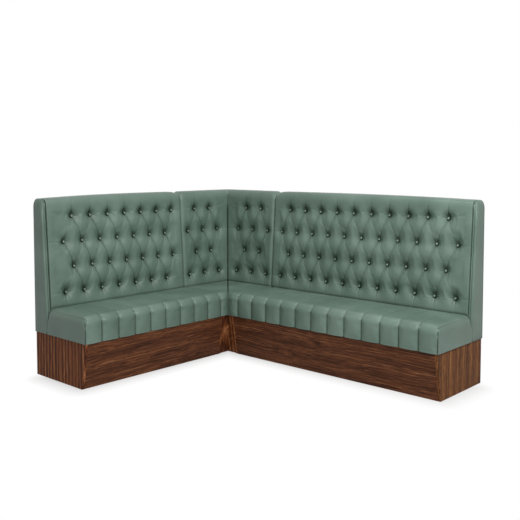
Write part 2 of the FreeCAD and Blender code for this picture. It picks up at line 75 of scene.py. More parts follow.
# %% Camera
camera_place = Vector((4.558, -4.5752, 1.4444))
camera_turn = 0.7391
camera_dip = 0.0575
focal_pixels = 731.5
level_pixel_row = 209.6

camera_data = bpy.data.cameras.new("camera")
camera_data.sensor_width = 36
camera_data.lens = camera_data.sensor_width * focal_pixels / photo_pixels
camera_data.shift_y = (level_pixel_row - photo_pixels / 2) / photo_pixels
camera_data.clip_end = 100
camera = bpy.data.objects.new("camera", camera_data)
camera.location = camera_place
camera.rotation_euler = (math.pi / 2 - camera_dip, 0, camera_turn)
bpy.context.scene.collection.objects.link(camera)
bpy.context.scene.camera = camera
print("lens", round(camera_data.lens, 2), "mm, shift", round(camera_data.shift_y, 4))

# %% [markdown]
# ## Colours and nodes
# Colours are picked as sRGB hex values, and the renderer works in linear light, so one function
# turns the one into the other. A second small function adds a shader node with its settings and
# links, so that a material reads as a short list.

# %% Colour and node helpers
def linear(hex_colour):
    """Linear RGBA of an sRGB hex colour."""
    parts = [int(hex_colour[i:i + 2], 16) / 255 for i in (1, 3, 5)]
    values = [c / 12.92 if c <= 0.04045 else ((c + 0.055) / 1.055) ** 2.4 for c in parts]
    return (*values, 1)


def new_material(name):
    """A material with an empty node tree."""
    material = bpy.data.materials.new(name)
    material.use_nodes = True
    material.node_tree.nodes.clear()
    return material


def node(material, kind, inputs=None, **settings):
    """Adds a node. An input is a value, or the output socket that feeds it."""
    made = material.node_tree.nodes.new(kind)
    for key, value in settings.items():
        setattr(made, key, value)
    for key, value in (inputs or {}).items():
        if isinstance(value, bpy.types.NodeSocket):
            material.node_tree.links.new(value, made.inputs[key])
        else:
            made.inputs[key].default_value = value
    return made


def ramp(material, factor, stops):
    """A colour ramp through (place, hex colour) stops."""
    made = node(material, "ShaderNodeValToRGB", {"Fac": factor})
    elements = made.color_ramp.elements
    elements[0].position, elements[0].color = stops[0][0], linear(stops[0][1])
    elements[1].position, elements[1].color = stops[-1][0], linear(stops[-1][1])
    for place, colour in stops[1:-1]:
        element = elements.new(place)
        element.color = linear(colour)
    return made


print("sage leather in linear light:", [round(c, 3) for c in linear("#6C8276")])

# %% [markdown]
# ## Floor, light and background
# A studio photograph like this has a white sweep that the shoes of the furniture barely shade.
# The floor is a plain grey disc. To the camera it also glows: fully a little way out from the
# plinth, where it stays white, and less close to it, where the real shadow still shows and the
# weaker glow also paints a grey band of shade round the plinth. The world is white to the camera
# and to reflections, and dimmer where it lights the bench.

# %% Floor and world
floor_radius = 30.0
floor_drop = 0.5 * mm
glow_share_in_painted_shade = 0.42
shade_reach = 160 * mm
plinth_foot = 545 * mm
wall_clear = 150 * mm
ambient = 0.35

floor_mesh = bpy.data.meshes.new("floor")
bm = bmesh.new()
bmesh.ops.create_circle(bm, cap_ends=True, segments=64, radius=floor_radius)
bmesh.ops.translate(bm, verts=bm.verts, vec=(0, 0, -floor_drop))
bm.to_mesh(floor_mesh)
bm.free()
floor = bpy.data.objects.new("floor", floor_mesh)
bpy.context.scene.collection.objects.link(floor)


def seen_rays(owner):
    """1 for rays that show the background itself: to the camera, in gloss and through glass."""
    ray = node(owner, "ShaderNodeLightPath")
    gloss = node(owner, "ShaderNodeMath", {0: ray.outputs["Is Camera Ray"],
                                           1: ray.outputs["Is Glossy Ray"]}, operation="MAXIMUM")
    seen = node(owner, "ShaderNodeMath", {0: gloss.outputs[0],
                                          1: ray.outputs["Is Transmission Ray"]},
                operation="MAXIMUM")
    return seen.outputs[0]


def away_from_box(owner, place, low, high):
    """Distance of a place from a box that stands on the floor, given by two corners."""
    middle = [(low[axis] + high[axis]) / 2 for axis in range(2)] + [0]
    half = [(high[axis] - low[axis]) / 2 for axis in range(2)] + [0]
    offset = node(owner, "ShaderNodeVectorMath", {0: place, 1: middle}, operation="SUBTRACT")
    folded = node(owner, "ShaderNodeVectorMath", {0: offset.outputs[0]}, operation="ABSOLUTE")
    past = node(owner, "ShaderNodeVectorMath", {0: folded.outputs[0], 1: half},
                operation="SUBTRACT")
    outside = node(owner, "ShaderNodeVectorMath", {0: past.outputs[0], 1: (0, 0, 0)},
                   operation="MAXIMUM")
    return node(owner, "ShaderNodeVectorMath", {0: outside.outputs[0]},
                operation="LENGTH").outputs["Value"]


paper = new_material("white paper sweep")
matt = node(paper, "ShaderNodeBsdfDiffuse", {"Color": linear("#C4C4C4")})
glow = node(paper, "ShaderNodeEmission", {"Color": (1, 1, 1, 1), "Strength": 1.0})
floor_place = node(paper, "ShaderNodeTexCoord").outputs["Object"]
long_side = away_from_box(paper, floor_place, (wall_clear, -plinth_foot),
                          (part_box("plinth_end_right")[1].x, -wall_clear))
short_side = away_from_box(paper, floor_place, (wall_clear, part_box("plinth_end_left")[0].y),
                           (plinth_foot, -wall_clear))
away = node(paper, "ShaderNodeMath", {0: long_side, 1: short_side}, operation="MINIMUM")
# Painted shade: the glow is weaker near the plinth by distance alone, which darkens a band round it.
glow_with_painted_shade = node(paper, "ShaderNodeMapRange",
                  {"Value": away.outputs[0], "From Min": 0, "From Max": shade_reach,
                   "To Min": glow_share_in_painted_shade, "To Max": 1.0})
seen = seen_rays(paper)
share = node(paper, "ShaderNodeMath", {0: seen, 1: glow_with_painted_shade.outputs["Result"]},
             operation="MULTIPLY")
mixed = node(paper, "ShaderNodeMixShader", {"Fac": share.outputs[0], 1: matt.outputs[0],
                                            2: glow.outputs[0]})
node(paper, "ShaderNodeOutputMaterial", {"Surface": mixed.outputs[0]})
floor.data.materials.append(paper)

world = bpy.data.worlds.new("studio")
world.use_nodes = True
world.node_tree.nodes.clear()
bright = node(world, "ShaderNodeMath", {0: seen_rays(world), 1: 1 - ambient, 2: ambient},
              operation="MULTIPLY_ADD")
sky = node(world, "ShaderNodeBackground",
           {"Color": (1, 1, 1, 1), "Strength": bright.outputs[0]})
node(world, "ShaderNodeOutputWorld", {"Surface": sky.outputs[0]})
bpy.context.scene.world = world
bpy.context.scene.view_settings.view_transform = "Standard"
print("floor at", -floor_drop, "with a glow share of", glow_share_in_painted_shade)

# %% [markdown]
# The pillows in the photograph are lit on their upper right sides: the main light is a large
# soft box high on the right. A second, weaker one fills from the front left, and a third hangs
# above, which draws the light band along the rolled top edges.

# %% Lamps
bench_middle = Vector((1.0, -0.7, 0.6))


def soft_box(name, place, size, power):
    """A square area lamp that faces the middle of the bench."""
    data = bpy.data.lights.new(name, "AREA")
    data.shape = "SQUARE"
    data.size = size
    data.energy = power
    lamp = bpy.data.objects.new(name, data)
    lamp.location = place
    lamp.rotation_euler = (bench_middle - Vector(place)).to_track_quat("-Z", "Y").to_euler()
    bpy.context.scene.collection.objects.link(lamp)
    return lamp


lamps = [
    soft_box("key_light", (4.2, -2.3, 3.7), 1.6, 224),
    soft_box("fill_light", (2.6, -4.2, 2.2), 2.4, 34),
    soft_box("top_light", (1.2, -1.0, 4.6), 2.0, 46),
]
print("lamps:", [(lamp.name, lamp.data.energy) for lamp in lamps])

# %% [markdown]
# ## Walnut
# The plinth is board faced with walnut veneer, stained dark and lacquered satin. Sliced veneer
# shows long streaks of light and dark wood along the grain, fine dark pores, and here and there
# a wandering arch where the cut left the heart of the log. Noise that is stretched along the
# grain draws the streaks, and bands that a wide, slow noise bends draw the arches. The grain runs
# along the boards on the fronts and stands upright on the ends, so the material takes the
# direction as a turn of its pattern.

# %% Walnut material
streak_width = 7 * mm
streak_length = 700 * mm
pore_width = 1.6 * mm
pore_length = 60 * mm
bend_size = 300 * mm
wander = 90 * mm


def walnut(name, turn, shift, tones, band_width, band_strength):
    """Walnut veneer whose grain runs along the pattern's own X axis."""
    material = new_material(name)
    place = node(material, "ShaderNodeTexCoord")
    turned = node(material, "ShaderNodeMapping",
                  {"Vector": place.outputs["Object"], "Rotation": turn, "Location": shift})
    at = turned.outputs["Vector"]
    slow_scale = (0.35 / bend_size, 1 / bend_size, 1 / bend_size)
    slow = node(material, "ShaderNodeMapping", {"Vector": at, "Scale": slow_scale})
    bend = node(material, "ShaderNodeTexNoise", {"Vector": slow.outputs[0], "Scale": 1.0})
    wavy = node(material, "ShaderNodeVectorMath",
                {0: bend.outputs["Color"], 1: (0, wander, wander), 2: at},
                operation="MULTIPLY_ADD")
    long_scale = (1 / streak_length, 1 / streak_width, 1 / streak_width)
    along = node(material, "ShaderNodeMapping", {"Vector": wavy.outputs[0], "Scale": long_scale})
    streaks = node(material, "ShaderNodeTexNoise",
                   {"Vector": along.outputs[0], "Scale": 1.0, "Detail": 8.0, "Roughness": 0.6})
    across = node(material, "ShaderNodeSeparateXYZ", {"Vector": at})
    bands = node(material, "ShaderNodeMath",
                 {0: bend.outputs["Fac"], 1: 9.0}, operation="MULTIPLY")
    offset = node(material, "ShaderNodeMath",
                  {0: across.outputs["Z"], 1: 1 / band_width, 2: bands.outputs[0]},
                  operation="MULTIPLY_ADD")
    wave = node(material, "ShaderNodeMath", {0: offset.outputs[0]}, operation="SINE")
    figure = node(material, "ShaderNodeMath",
                  {0: wave.outputs[0], 1: band_strength, 2: streaks.outputs["Fac"]},
                  operation="MULTIPLY_ADD")
    pore_scale = (1 / pore_length, 1 / pore_width, 1 / pore_width)
    pore_place = node(material, "ShaderNodeMapping", {"Vector": at, "Scale": pore_scale})
    pores = node(material, "ShaderNodeTexNoise",
                 {"Vector": pore_place.outputs[0], "Scale": 1.0, "Detail": 2.0})
    colours = ramp(material, figure.outputs[0], list(zip((0.30, 0.42, 0.52, 0.62, 0.74), tones)))
    pore_tone = ramp(material, pores.outputs["Fac"], [(0.34, "#8F8F8F"), (0.52, "#FFFFFF")])
    tone = node(material, "ShaderNodeMix",
                {0: 1.0, 6: colours.outputs[0], 7: pore_tone.outputs[0]},
                data_type="RGBA", blend_type="MULTIPLY")
    dents = node(material, "ShaderNodeBump",
                 {"Height": pores.outputs["Fac"], "Strength": 0.12, "Distance": 0.3 * mm})
    lacquer = node(material, "ShaderNodeBsdfPrincipled",
                   {"Base Color": tone.outputs[2], "Roughness": 0.6,
                    "Specular IOR Level": 0.1, "Normal": dents.outputs[0]})
    node(material, "ShaderNodeOutputMaterial", {"Surface": lacquer.outputs[0]})
    return material


quarter = math.pi / 2
brown = ("#29150B", "#412313", "#56321E", "#6B4129", "#865D40")
reddish = ("#2E150A", "#4C2714", "#683A20", "#83502F", "#A06C47")
# The right end faces the key light, so its copy of the upright walnut has slightly lighter tones:
# painted light. Its wider, fainter stripes are the veneer's own figure.
lit_end_tones_painted_lighter = ("#2E180A", "#4D2B14", "#694020", "#85572F", "#A17647")
walnut_long = walnut("walnut veneer, grain along the long wall", (0, 0, 0), (0, 0, 0),
                     brown, 16 * mm, 0.04)
walnut_short = walnut("walnut veneer, grain along the short wall", (0, 0, quarter), (3, 1, 0),
                      brown, 16 * mm, 0.04)
walnut_upright = walnut("walnut veneer, upright grain", (0, quarter, 0), (5, 2, 1),
                        reddish, 6 * mm, 0.12)
walnut_end_painted_lighter = walnut("walnut veneer, upright grain, wider figure, painted lighter", (quarter, 0, quarter),
                      (2, 4, 1), lit_end_tones_painted_lighter, 14 * mm, 0.05)
print("walnut:", walnut_long.name, "|", walnut_short.name, "|", walnut_upright.name, "|",
      walnut_end_painted_lighter.name)

# %% [markdown]
# ## Where the buttons are
# A deep buttoned back is ruled by its buttons. Each is pulled through the padding and tied
# behind, and the spare leather between four neighbours folds along the diagonals. So the scene
# first reads the place of every button from the construction model: it joins each button's loose
# triangles, and takes the middle of each joined group. The short wall's pieces are worked on as
# if they stood on the long wall, and are mirrored over the corner's diagonal at the end.

# %% Read the buttons
corner_mirror = Matrix(((0, -1, 0, 0), (-1, 0, 0, 0), (0, 0, 1, 0), (0, 0, 0, 1)))
join_distance = 0.01 * mm


def joined_copy(node_name, on_short_wall):
    """A construction node as a bmesh in the long wall's frame, with its triangles joined."""
    bm = bmesh.new()
    bm.from_mesh(frame["nodes"][node_name].data)
    bmesh.ops.remove_doubles(bm, verts=bm.verts, dist=join_distance)
    if on_short_wall:
        bmesh.ops.transform(bm, matrix=corner_mirror, verts=bm.verts)
    return bm


def group_middles(bm):
    """Middle of each group of joined vertices."""
    waiting = set(bm.verts)
    middles = []
    while waiting:
        front = [waiting.pop()]
        group = []
        while front:
            vert = front.pop()
            group.append(vert.co)
            beside = [edge.other_vert(vert) for edge in vert.link_edges]
            fresh = [other for other in beside if other in waiting]
            waiting.difference_update(fresh)
            front += fresh
        middles.append(sum(group, Vector()) / len(group))
    return middles


def button_middles(node_name, on_short_wall=False):
    """Middles of the buttons of one node that belong to the long wall's side of the corner."""
    bm = joined_copy(node_name, on_short_wall)
    middles = [middle for middle in group_middles(bm) if middle.x > -middle.y]
    bm.free()
    return middles


middles = {
    "right": button_middles("back_buttons_right"),
    "left": button_middles("back_buttons_left", True),
    "corner": button_middles("back_buttons_corner"),
}
print("buttons:", {name: len(places) for name, places in middles.items()})

# %% [markdown]
# ## The shape of a back
# Seen from the side, the leather runs from the plinth up behind the seat, swells out over it,
# leans back with the frame, rolls over the top edge and goes level to the wall. A flat pattern
# of the back has two lengths: along the wall, and up this side section. The section below turns
# a height on the pattern into a place and an outward direction.

# %% Back sections
top_roll = 56 * mm
top_arc = 124 * mm
top_puff = 19 * mm
top_puff_start = 60 * mm
corner_puff = 4 * mm
belly_drop = 40 * mm
belly_rise = 36 * mm
foot_depth = 150 * mm
top_dip_loss = 0.62
seat_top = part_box("seat_foam_right")[1].z


def distinct(values):
    """Sorted values, with those that lie within a millimetre of each other taken as one."""
    kept = []
    for value in sorted(values):
        if not kept or value - kept[-1] > mm:
            kept.append(value)
    return kept


def smooth(value):
    """Goes softly from 0 to 1 as the value does."""
    value = min(1, max(0, value))
    return value * value * (3 - 2 * value)


def evenly(start, end, pitch):
    """Values from start to end, without the start, about a pitch apart."""
    count = max(1, round(abs(end - start) / pitch))
    return [start + (end - start) * i / count for i in range(1, count + 1)]


class EdgeRoll:
    """The rolled side of a back: how wide and deep it rolls, and how far it is tucked in."""

    def __init__(self, width, depth, tuck):
        self.width = width
        self.depth = depth
        self.tuck = tuck
        self.length = math.pi / 2 * math.hypot(width, depth) / math.sqrt(2)

    def set_at(self, edge, sign):
        """Sets the roll at an edge; its sign says on which side the edge lies."""
        self.edge = edge
        self.sign = sign
        self.start = edge - sign * self.width
        self.end = self.start + sign * self.length

    def fold(self, along):
        """Place along the wall and dip of a pattern's place that may lie on the roll."""
        past = (along - self.start) * self.sign
        if past <= 0:
            return along, 0
        angle = min(past / self.length, 1) * math.pi / 2
        dip = self.depth * (1 - math.cos(angle)) + max(0, past - self.length)
        return self.start + self.sign * self.width * math.sin(angle), dip


class BackPattern:
    """One back: its buttons, its edges and the section that its pattern is laid over."""

    def __init__(self, part, on_short_wall, places, near_is_mitre, rolls):
        self.part = part
        self.short = on_short_wall
        self.near_is_mitre = near_is_mitre
        self.near_roll, self.far_roll = [EdgeRoll(*sizes) for sizes in rolls]
        levels = distinct([place.z for place in places])
        low = [place for place in places if abs(place.z - levels[0]) < mm]
        high = [place for place in places if abs(place.z - levels[-1]) < mm]
        run = high[0].y - low[0].y
        rise = high[0].z - low[0].z
        self.lean = math.atan(run / rise)
        self.up = Vector((0, math.sin(self.lean), math.cos(self.lean)))
        self.out = Vector((0, -math.cos(self.lean), math.sin(self.lean)))
        self.origin = Vector((0, low[0].y, low[0].z))
        self.row_pitch = math.hypot(run, rise) / (len(levels) - 1)
        self.reach = self.row_pitch * (len(levels) - 1)
        columns = distinct([place.x for place in places])
        self.first, self.last = columns[0], columns[-1]
        self.half = (self.last - self.first) / (len(columns) - 1)
        self.buttons = [(place.x, (place - self.origin).dot(self.up)) for place in places]
        self.first_row = min(t for s, t in self.buttons if abs(s - self.first) < mm)
        self.measure_cover()
        self.near_roll.set_at(self.near, -1)
        self.far_roll.set_at(self.far, 1)
        self.turn = math.pi / 2 - self.lean
        self.roll_steps = self.soft_roll()
        chord = self.roll_steps[-1].length
        edge = (self.top - self.origin.z - self.crest * self.out.z) / self.up.z
        self.roll_start = edge - chord / (2 * math.cos(self.turn / 2))
        self.roll_end = self.roll_start + top_arc
        self.rear = self.roll_end - self.section(self.roll_end)[0].y
        self.belly = (seat_top + belly_rise - self.origin.z) / self.up.z
        self.foot = (self.low - self.origin.z - self.crest * self.out.z) / self.up.z

    def measure_cover(self):
        """Reads the crest's rise, the edges and the foam's face from the construction model."""
        cover = joined_copy("back_cover_" + self.part, self.short)
        self.crest = max((vert.co - self.origin).dot(self.out) for vert in cover.verts)
        self.far = max(vert.co.x for vert in cover.verts)
        self.near = min(vert.co.x for vert in cover.verts)
        self.top = max(vert.co.z for vert in cover.verts)
        self.low = min(vert.co.z for vert in cover.verts)
        cover.free()
        if self.near_is_mitre:
            self.near = self.crest - self.origin.y
        foam = joined_copy("back_foam_" + self.part, self.short)
        self.foam_face = max((vert.co - self.origin).dot(self.out) for vert in foam.verts)
        self.foam_top = max(vert.co.z for vert in foam.verts)
        foam.free()

    def roll_angle(self, share):
        """Turn of the leather at a share of the roll: it starts and ends softly."""
        return self.turn * (share - math.sin(2 * math.pi * share) / (2 * math.pi))

    def soft_roll(self):
        """Places on the roll from its start, in even steps."""
        places = [Vector((0, 0, 0))]
        for step in range(roll_step_count):
            angle = self.roll_angle((step + 0.5) / roll_step_count)
            onward = self.up * math.cos(angle) - self.out * math.sin(angle)
            places.append(places[-1] + onward * top_arc / roll_step_count)
        return places

    def section(self, height):
        """Place and outward direction of the outermost leather at a height on the pattern."""
        if height > self.roll_start:
            share = min(1, (height - self.roll_start) / top_arc)
            step = min(int(share * roll_step_count), roll_step_count - 1)
            on = self.roll_steps[step].lerp(self.roll_steps[step + 1],
                                            share * roll_step_count - step)
            place = self.origin + self.up * self.roll_start + self.out * self.crest + on
            place.y += max(0, height - self.roll_start - top_arc)
            angle = self.roll_angle(share)
            return place, self.out * math.cos(angle) + self.up * math.sin(angle)
        place = self.origin + self.up * height + self.out * self.crest
        blend = smooth((self.belly - height) / belly_drop)
        place.y += (-foot_depth - place.y) * blend
        return place, self.out.lerp(Vector((0, -1, 0)), blend).normalized()

    def lay(self, along, height, dip):
        """Lays a point of the flat pattern over the section, with a dip below the crests."""
        roll = self.far_roll if along > self.last else self.near_roll
        folded, side_dip = roll.fold(along)
        place, outward = self.section(height)
        if self.near_is_mitre and roll is self.near_roll:
            side_dip *= 1 - smooth((height - self.roll_start + mitre_fade) / mitre_fade)
        else:
            level = smooth((height - self.roll_start) / (self.roll_end - self.roll_start))
            side_dip *= 1 - level * top_dip_loss
        point = place - outward * math.hypot(dip, side_dip)
        point.z += self.puff(along) * smooth((height - self.roll_start) / (0.8 * top_arc))
        if self.near_is_mitre and along < self.first:
            share = min(1, (self.first - folded) / (self.first - self.near))
            folded = self.first - share * (self.first + point.y - mitre_gap)
        point.x = folded
        return point

    def puff(self, along):
        """How far the top stands proud: least at a seam, most in the room's corner."""
        share = (along - self.near) / (self.far - self.near)
        if self.near_is_mitre:
            return top_puff * smooth((self.far - along) / top_puff_start) + corner_puff * (1 - share)
        return top_puff * (1 - share ** 3) * smooth((along - self.near) / top_puff_start)

    def lining_place(self, column, level):
        """A point of the pad's flat inner side, at shares of its length and height."""
        point = self.origin + self.out * (self.foam_face + foam_gap)
        point += self.up * (self.low - point.z) / self.up.z
        top = self.foam_top + foam_gap
        if level > 0.999:
            point = Vector((0, 0, top))
        else:
            point += self.up * (top - self.low) / self.up.z * min(1, level / lining_turn)
        near = mitre_gap - point.y if self.near_is_mitre else self.near
        point.x = near + (self.far - near) * column
        return point


roll_step_count = 200
foam_gap = 0.5 * mm
lining_turn = 0.9
mitre_gap = 0.6 * mm
mitre_fade = 110 * mm
seam = (30 * mm, 24 * mm, 8 * mm)
border = (5 * mm, 2.5 * mm, 3 * mm)
mitre = (14 * mm, 12 * mm, 14 * mm)
patterns = [
    BackPattern("right", False, middles["right"], False, (seam, border)),
    BackPattern("left", True, middles["left"], False, (seam, border)),
    BackPattern("corner_right", False, middles["corner"], True, (mitre, seam)),
    BackPattern("corner_left", True, middles["corner"], True, (mitre, seam)),
]
for pattern in patterns:
    print(pattern.part, "from", round(pattern.near, 4), "to", round(pattern.far, 4), "first",
          round(pattern.first, 4), "last", round(pattern.last, 4), "pitch",
          round(pattern.half * 2, 4), "crest", round(pattern.crest, 4))

# %% [markdown]
# ## Folds, dimples and pleats
# The depth of the leather below its crests is worked out on the flat pattern. Both families of
# diagonal folds are shallow valleys. Every button sits in a round funnel, which is wide above
# the button, where the leather hangs open, and steep below it, where the next pillow puffs up.
# Outside the outermost buttons the diagonals end, and each button sends one thin straight pleat
# to the nearest edge. The places are held as arrays, so that one line of code works on all of
# the points at once.

# %% Places between the folds
def lattice_place(pattern, along, height):
    """Place between the diagonal folds: whole numbers lie on a fold."""
    across = (along - pattern.first) / pattern.half
    rows = (height - pattern.first_row) / pattern.row_pitch
    return (across + rows) / 2, (across - rows) / 2


def fold_distances(pattern, along, height):
    """Distances to the nearest fold of each family, with the space between two folds."""
    u, v = lattice_place(pattern, along, height)
    spacing = 2 * pattern.half * pattern.row_pitch / math.hypot(pattern.half, pattern.row_pitch)
    return np.abs(v - np.round(v)) * spacing, np.abs(u - np.round(u)) * spacing, spacing


def near_buttons(pattern, along, height):
    """For each place, the offsets to the buttons round it, and which of them are real."""
    u, v = lattice_place(pattern, along, height)
    for step_u in (-1, 0, 1, 2):
        for step_v in (-1, 0, 1, 2):
            near_u, near_v = np.floor(u) + step_u, np.floor(v) + step_v
            button_along = pattern.first + (near_u + near_v) * pattern.half
            button_height = pattern.first_row + (near_u - near_v) * pattern.row_pitch
            real = ((button_along > pattern.first - mm) & (button_along < pattern.last + mm)
                    & (button_height > -mm) & (button_height < pattern.reach + mm))
            yield along - button_along, height - button_height, real


def ease(values):
    """Goes softly from 0 to 1 as the values do."""
    values = np.clip(values, 0, 1)
    return values * values * (3 - 2 * values)


test = fold_distances(patterns[0], np.array([patterns[0].first]), np.array([0.0]))
print("space between folds", round(test[2], 4))

# %% Depth of the leather
fold_down = 8.5 * mm
fold_up = 6.0 * mm
funnel_depth = 20 * mm
funnel_width = 34 * mm
open_above = 0.9
steep_below = 1.1
button_radius = 11 * mm
lip = 4 * mm
diagonal_end = 62 * mm
pleat_depth = 2.8 * mm
pleat_width = 3 * mm
top_pleat_puff = 2.0 * mm
foot_pleat_puff = 0.8 * mm
pleat_puff_width = 15 * mm
side_pleat_depth = 1.8 * mm


def funnels(pattern, along, height):
    """Depth that the buttons' funnels add."""
    depth = 0 * along
    for aside, above, real in near_buttons(pattern, along, height):
        stretch = np.where(above > 0, open_above, steep_below)
        past = np.maximum(0, np.hypot(aside, above * stretch) - button_radius - lip)
        depth += real * funnel_depth * np.exp(-(past / funnel_width) ** 1.25)
    return depth


def pleats(pattern, along, height):
    """Depth of the straight pleats from the outermost buttons to the edges."""
    depth = 0 * along
    for row, past, puff in ((0, -height, foot_pleat_puff),
                            (pattern.reach, height - pattern.reach, top_pleat_puff)):
        columns = np.array([s for s, t in pattern.buttons if abs(t - row) < mm])
        aside = np.min(np.abs(along[:, None] - columns), axis=1)
        fade = 1 - ease(past / (pattern.roll_end - pattern.reach))
        line = pleat_depth * np.exp(-aside / pleat_width)
        line += puff * np.exp(-aside / pleat_puff_width)
        depth += (past > 0) * line * fade
    for column, past in ((pattern.first, pattern.first - along), (pattern.last, along - pattern.last)):
        rows = np.array([t for s, t in pattern.buttons if abs(s - column) < mm])
        aside = np.min(np.abs(height[:, None] - rows), axis=1)
        depth += (past > 0) * side_pleat_depth * np.exp(-aside / pleat_width)
    return depth


def on_crossing(pattern, along, height):
    """1 where two folds cross, on a button, and 0 a little away from it."""
    u, v = lattice_place(pattern, along, height)
    aside = np.hypot(u - np.round(u), v - np.round(v))
    return 1 - ease(aside / 0.3)


def dips(pattern, along, height):
    """Depth of the leather below its crests, at places on the flat pattern."""
    inner_along = np.clip(along, pattern.first, pattern.last)
    inner_height = np.clip(height, 0, pattern.reach)
    down, up, spacing = fold_distances(pattern, inner_along, inner_height)
    depth = fold_down * (1 - 2 * down / spacing) ** 2 + fold_up * (1 - 2 * up / spacing) ** 2
    depth -= (fold_down + fold_up - 8 * mm) * on_crossing(pattern, inner_along, inner_height)
    outside = np.maximum(np.abs(along - inner_along) / 0.7, np.abs(height - inner_height))
    depth *= 1 - ease(outside / diagonal_end)
    depth += funnels(pattern, along, height) + pleats(pattern, along, height)
    return np.minimum(depth, pattern.crest - pattern.foam_face - 2 * foam_gap)


on_button = dips(patterns[0], np.array([patterns[0].first]), np.array([patterns[0].first_row]))
print("depth on a button", round(float(on_button[0]), 4))

# %% [markdown]
# ## The flat pattern
# A mesh whose lines follow the folds shows them sharply with few faces. So the pattern starts
# as a grid in the folds' own diagonal coordinates, with its lines drawn together near the folds.
# It is cut back to the outermost buttons with planes, and its rims are extruded to the edges in
# steps that are close where the leather rolls over.

# %% Pattern meshes
cells_per_diamond = 20
line_gathering = 0.55
bow = 5 * mm


def rim_edges(bm, test):
    """Open edges whose both ends pass a test."""
    return [edge for edge in bm.edges
            if edge.is_boundary and test(edge.verts[0].co) and test(edge.verts[1].co)]


def extrude_rim(bm, edges, axis, values):
    """Extrudes open edges step by step, to the given values along one axis."""
    for value in values:
        grown = bmesh.ops.extrude_edge_only(bm, edges=edges)["geom"]
        for part in grown:
            if isinstance(part, bmesh.types.BMVert):
                part.co[axis] = value
        edges = [part for part in grown if isinstance(part, bmesh.types.BMEdge)
                 and all(abs(vert.co[axis] - value) < join_distance for vert in part.verts)
                 and part.is_boundary]


def flat_pattern(pattern):
    """The flat sheet of one back: x runs along the wall and y up the section."""
    bm = bmesh.new()
    columns = round((pattern.last - pattern.first) / pattern.half)
    rows = round(pattern.reach / pattern.row_pitch)
    size = math.ceil((columns + rows) / 2) + 2
    start = (-2, -math.ceil(rows / 2) - 1)
    segments = size * cells_per_diamond
    bmesh.ops.create_grid(bm, x_segments=segments, y_segments=segments, size=size / 2)
    bmesh.ops.translate(bm, verts=bm.verts, vec=(start[0] + size / 2, start[1] + size / 2, 0))
    for vert in bm.verts:
        u = vert.co.x - line_gathering * math.sin(2 * math.pi * vert.co.x) / (2 * math.pi)
        v = vert.co.y - line_gathering * math.sin(2 * math.pi * vert.co.y) / (2 * math.pi)
        vert.co.x = pattern.first + (u + v) * pattern.half
        vert.co.y = pattern.first_row + (u - v) * pattern.row_pitch
    cuts = [((pattern.first, 0, 0), (-1, 0, 0)), ((pattern.last, 0, 0), (1, 0, 0)),
            ((0, 0, 0), (0, -1, 0)), ((0, pattern.reach, 0), (0, 1, 0))]
    for place, outward in cuts:
        bmesh.ops.bisect_plane(bm, geom=bm.verts[:] + bm.edges[:] + bm.faces[:], dist=join_distance,
                               plane_co=place, plane_no=outward, clear_outer=True)
    extrude_rims(bm, pattern)
    return bm


def extrude_rims(bm, pattern):
    """Extends the diagonal grid to the sides, the foot and the rear of the top."""
    for edge_at, roll, sign in ((pattern.first, pattern.near_roll, -1),
                                (pattern.last, pattern.far_roll, 1)):
        fold = roll.start
        values = evenly(edge_at, fold, 10 * mm) + evenly(fold, roll.end, 4 * mm)
        values += evenly(roll.end, roll.end + sign * roll.tuck, 12 * mm)
        extrude_rim(bm, rim_edges(bm, lambda co: abs(co.x - edge_at) < join_distance), 0, values)
    up = evenly(pattern.reach, pattern.roll_start, 8 * mm)
    up += evenly(pattern.roll_start, pattern.roll_end, 6 * mm)
    up += evenly(pattern.roll_end, pattern.rear, 16 * mm)
    top_rim = rim_edges(bm, lambda co: abs(co.y - pattern.reach) < join_distance)
    extrude_rim(bm, top_rim, 1, up)
    down = evenly(0, pattern.belly - belly_drop, 8 * mm)
    down += evenly(pattern.belly - belly_drop, pattern.foot, 30 * mm)
    extrude_rim(bm, rim_edges(bm, lambda co: abs(co.y) < join_distance), 1, down)


def bowed(pattern, along, height):
    """Places shifted so that both families of folds bow a little towards the corner."""
    inside = np.minimum(np.minimum(along - pattern.first, pattern.last - along),
                        np.minimum(height, pattern.reach - height))
    share = ease(inside / (0.35 * pattern.row_pitch))
    u, v = lattice_place(pattern, along, height)
    length = math.hypot(pattern.half, pattern.row_pitch)
    down = share * bow * np.abs(np.sin(math.pi * u)) / length
    up = share * bow * np.abs(np.sin(math.pi * v)) / length
    return along - (up + down) * pattern.row_pitch, height + (down - up) * pattern.half


def flat_places(bm):
    """The flat places of all vertices, as two arrays."""
    layer = bm.verts.layers.float_vector["pattern"]
    places = np.array([vert[layer][:2] for vert in bm.verts])
    return places[:, 0], places[:, 1]


def laid_pattern(pattern):
    """The pattern's sheet in its place on the wall, with its flat places kept."""
    bm = flat_pattern(pattern)
    layer = bm.verts.layers.float_vector.new("pattern")
    for vert in bm.verts:
        vert[layer] = (vert.co.x, vert.co.y, 0)
    along, height = flat_places(bm)
    depths = dips(pattern, along, height)
    along, height = bowed(pattern, along, height)
    for vert, s, t, depth in zip(bm.verts, along, height, depths):
        vert.co = pattern.lay(s, t, depth)
    bmesh.ops.remove_doubles(bm, verts=bm.verts, dist=0.2 * mm)
    return bm


test = flat_pattern(patterns[2])
print("a corner back's pattern:", len(test.verts), "vertices,", len(test.faces), "faces")
test.free()

# %% [markdown]
# ## Letting the leather settle
# A formula's pillows are too even. Real ones are blown out by the foam behind them and held only
# at the seams, folds and buttons. Blender's cloth does just that: the folds are pinned, pressure
# from behind swells the leather between them, and after twenty frames it has found its own
# shape. The result is read back, with a cap on how far a point may go, and no cloth is left on
# the piece. Then every face is divided once, for a smooth skin.

# %% Cloth settings
settle_frames = 20
settle_cap = 6 * mm
settle_pressure = 4.0
spare_leather = -0.012


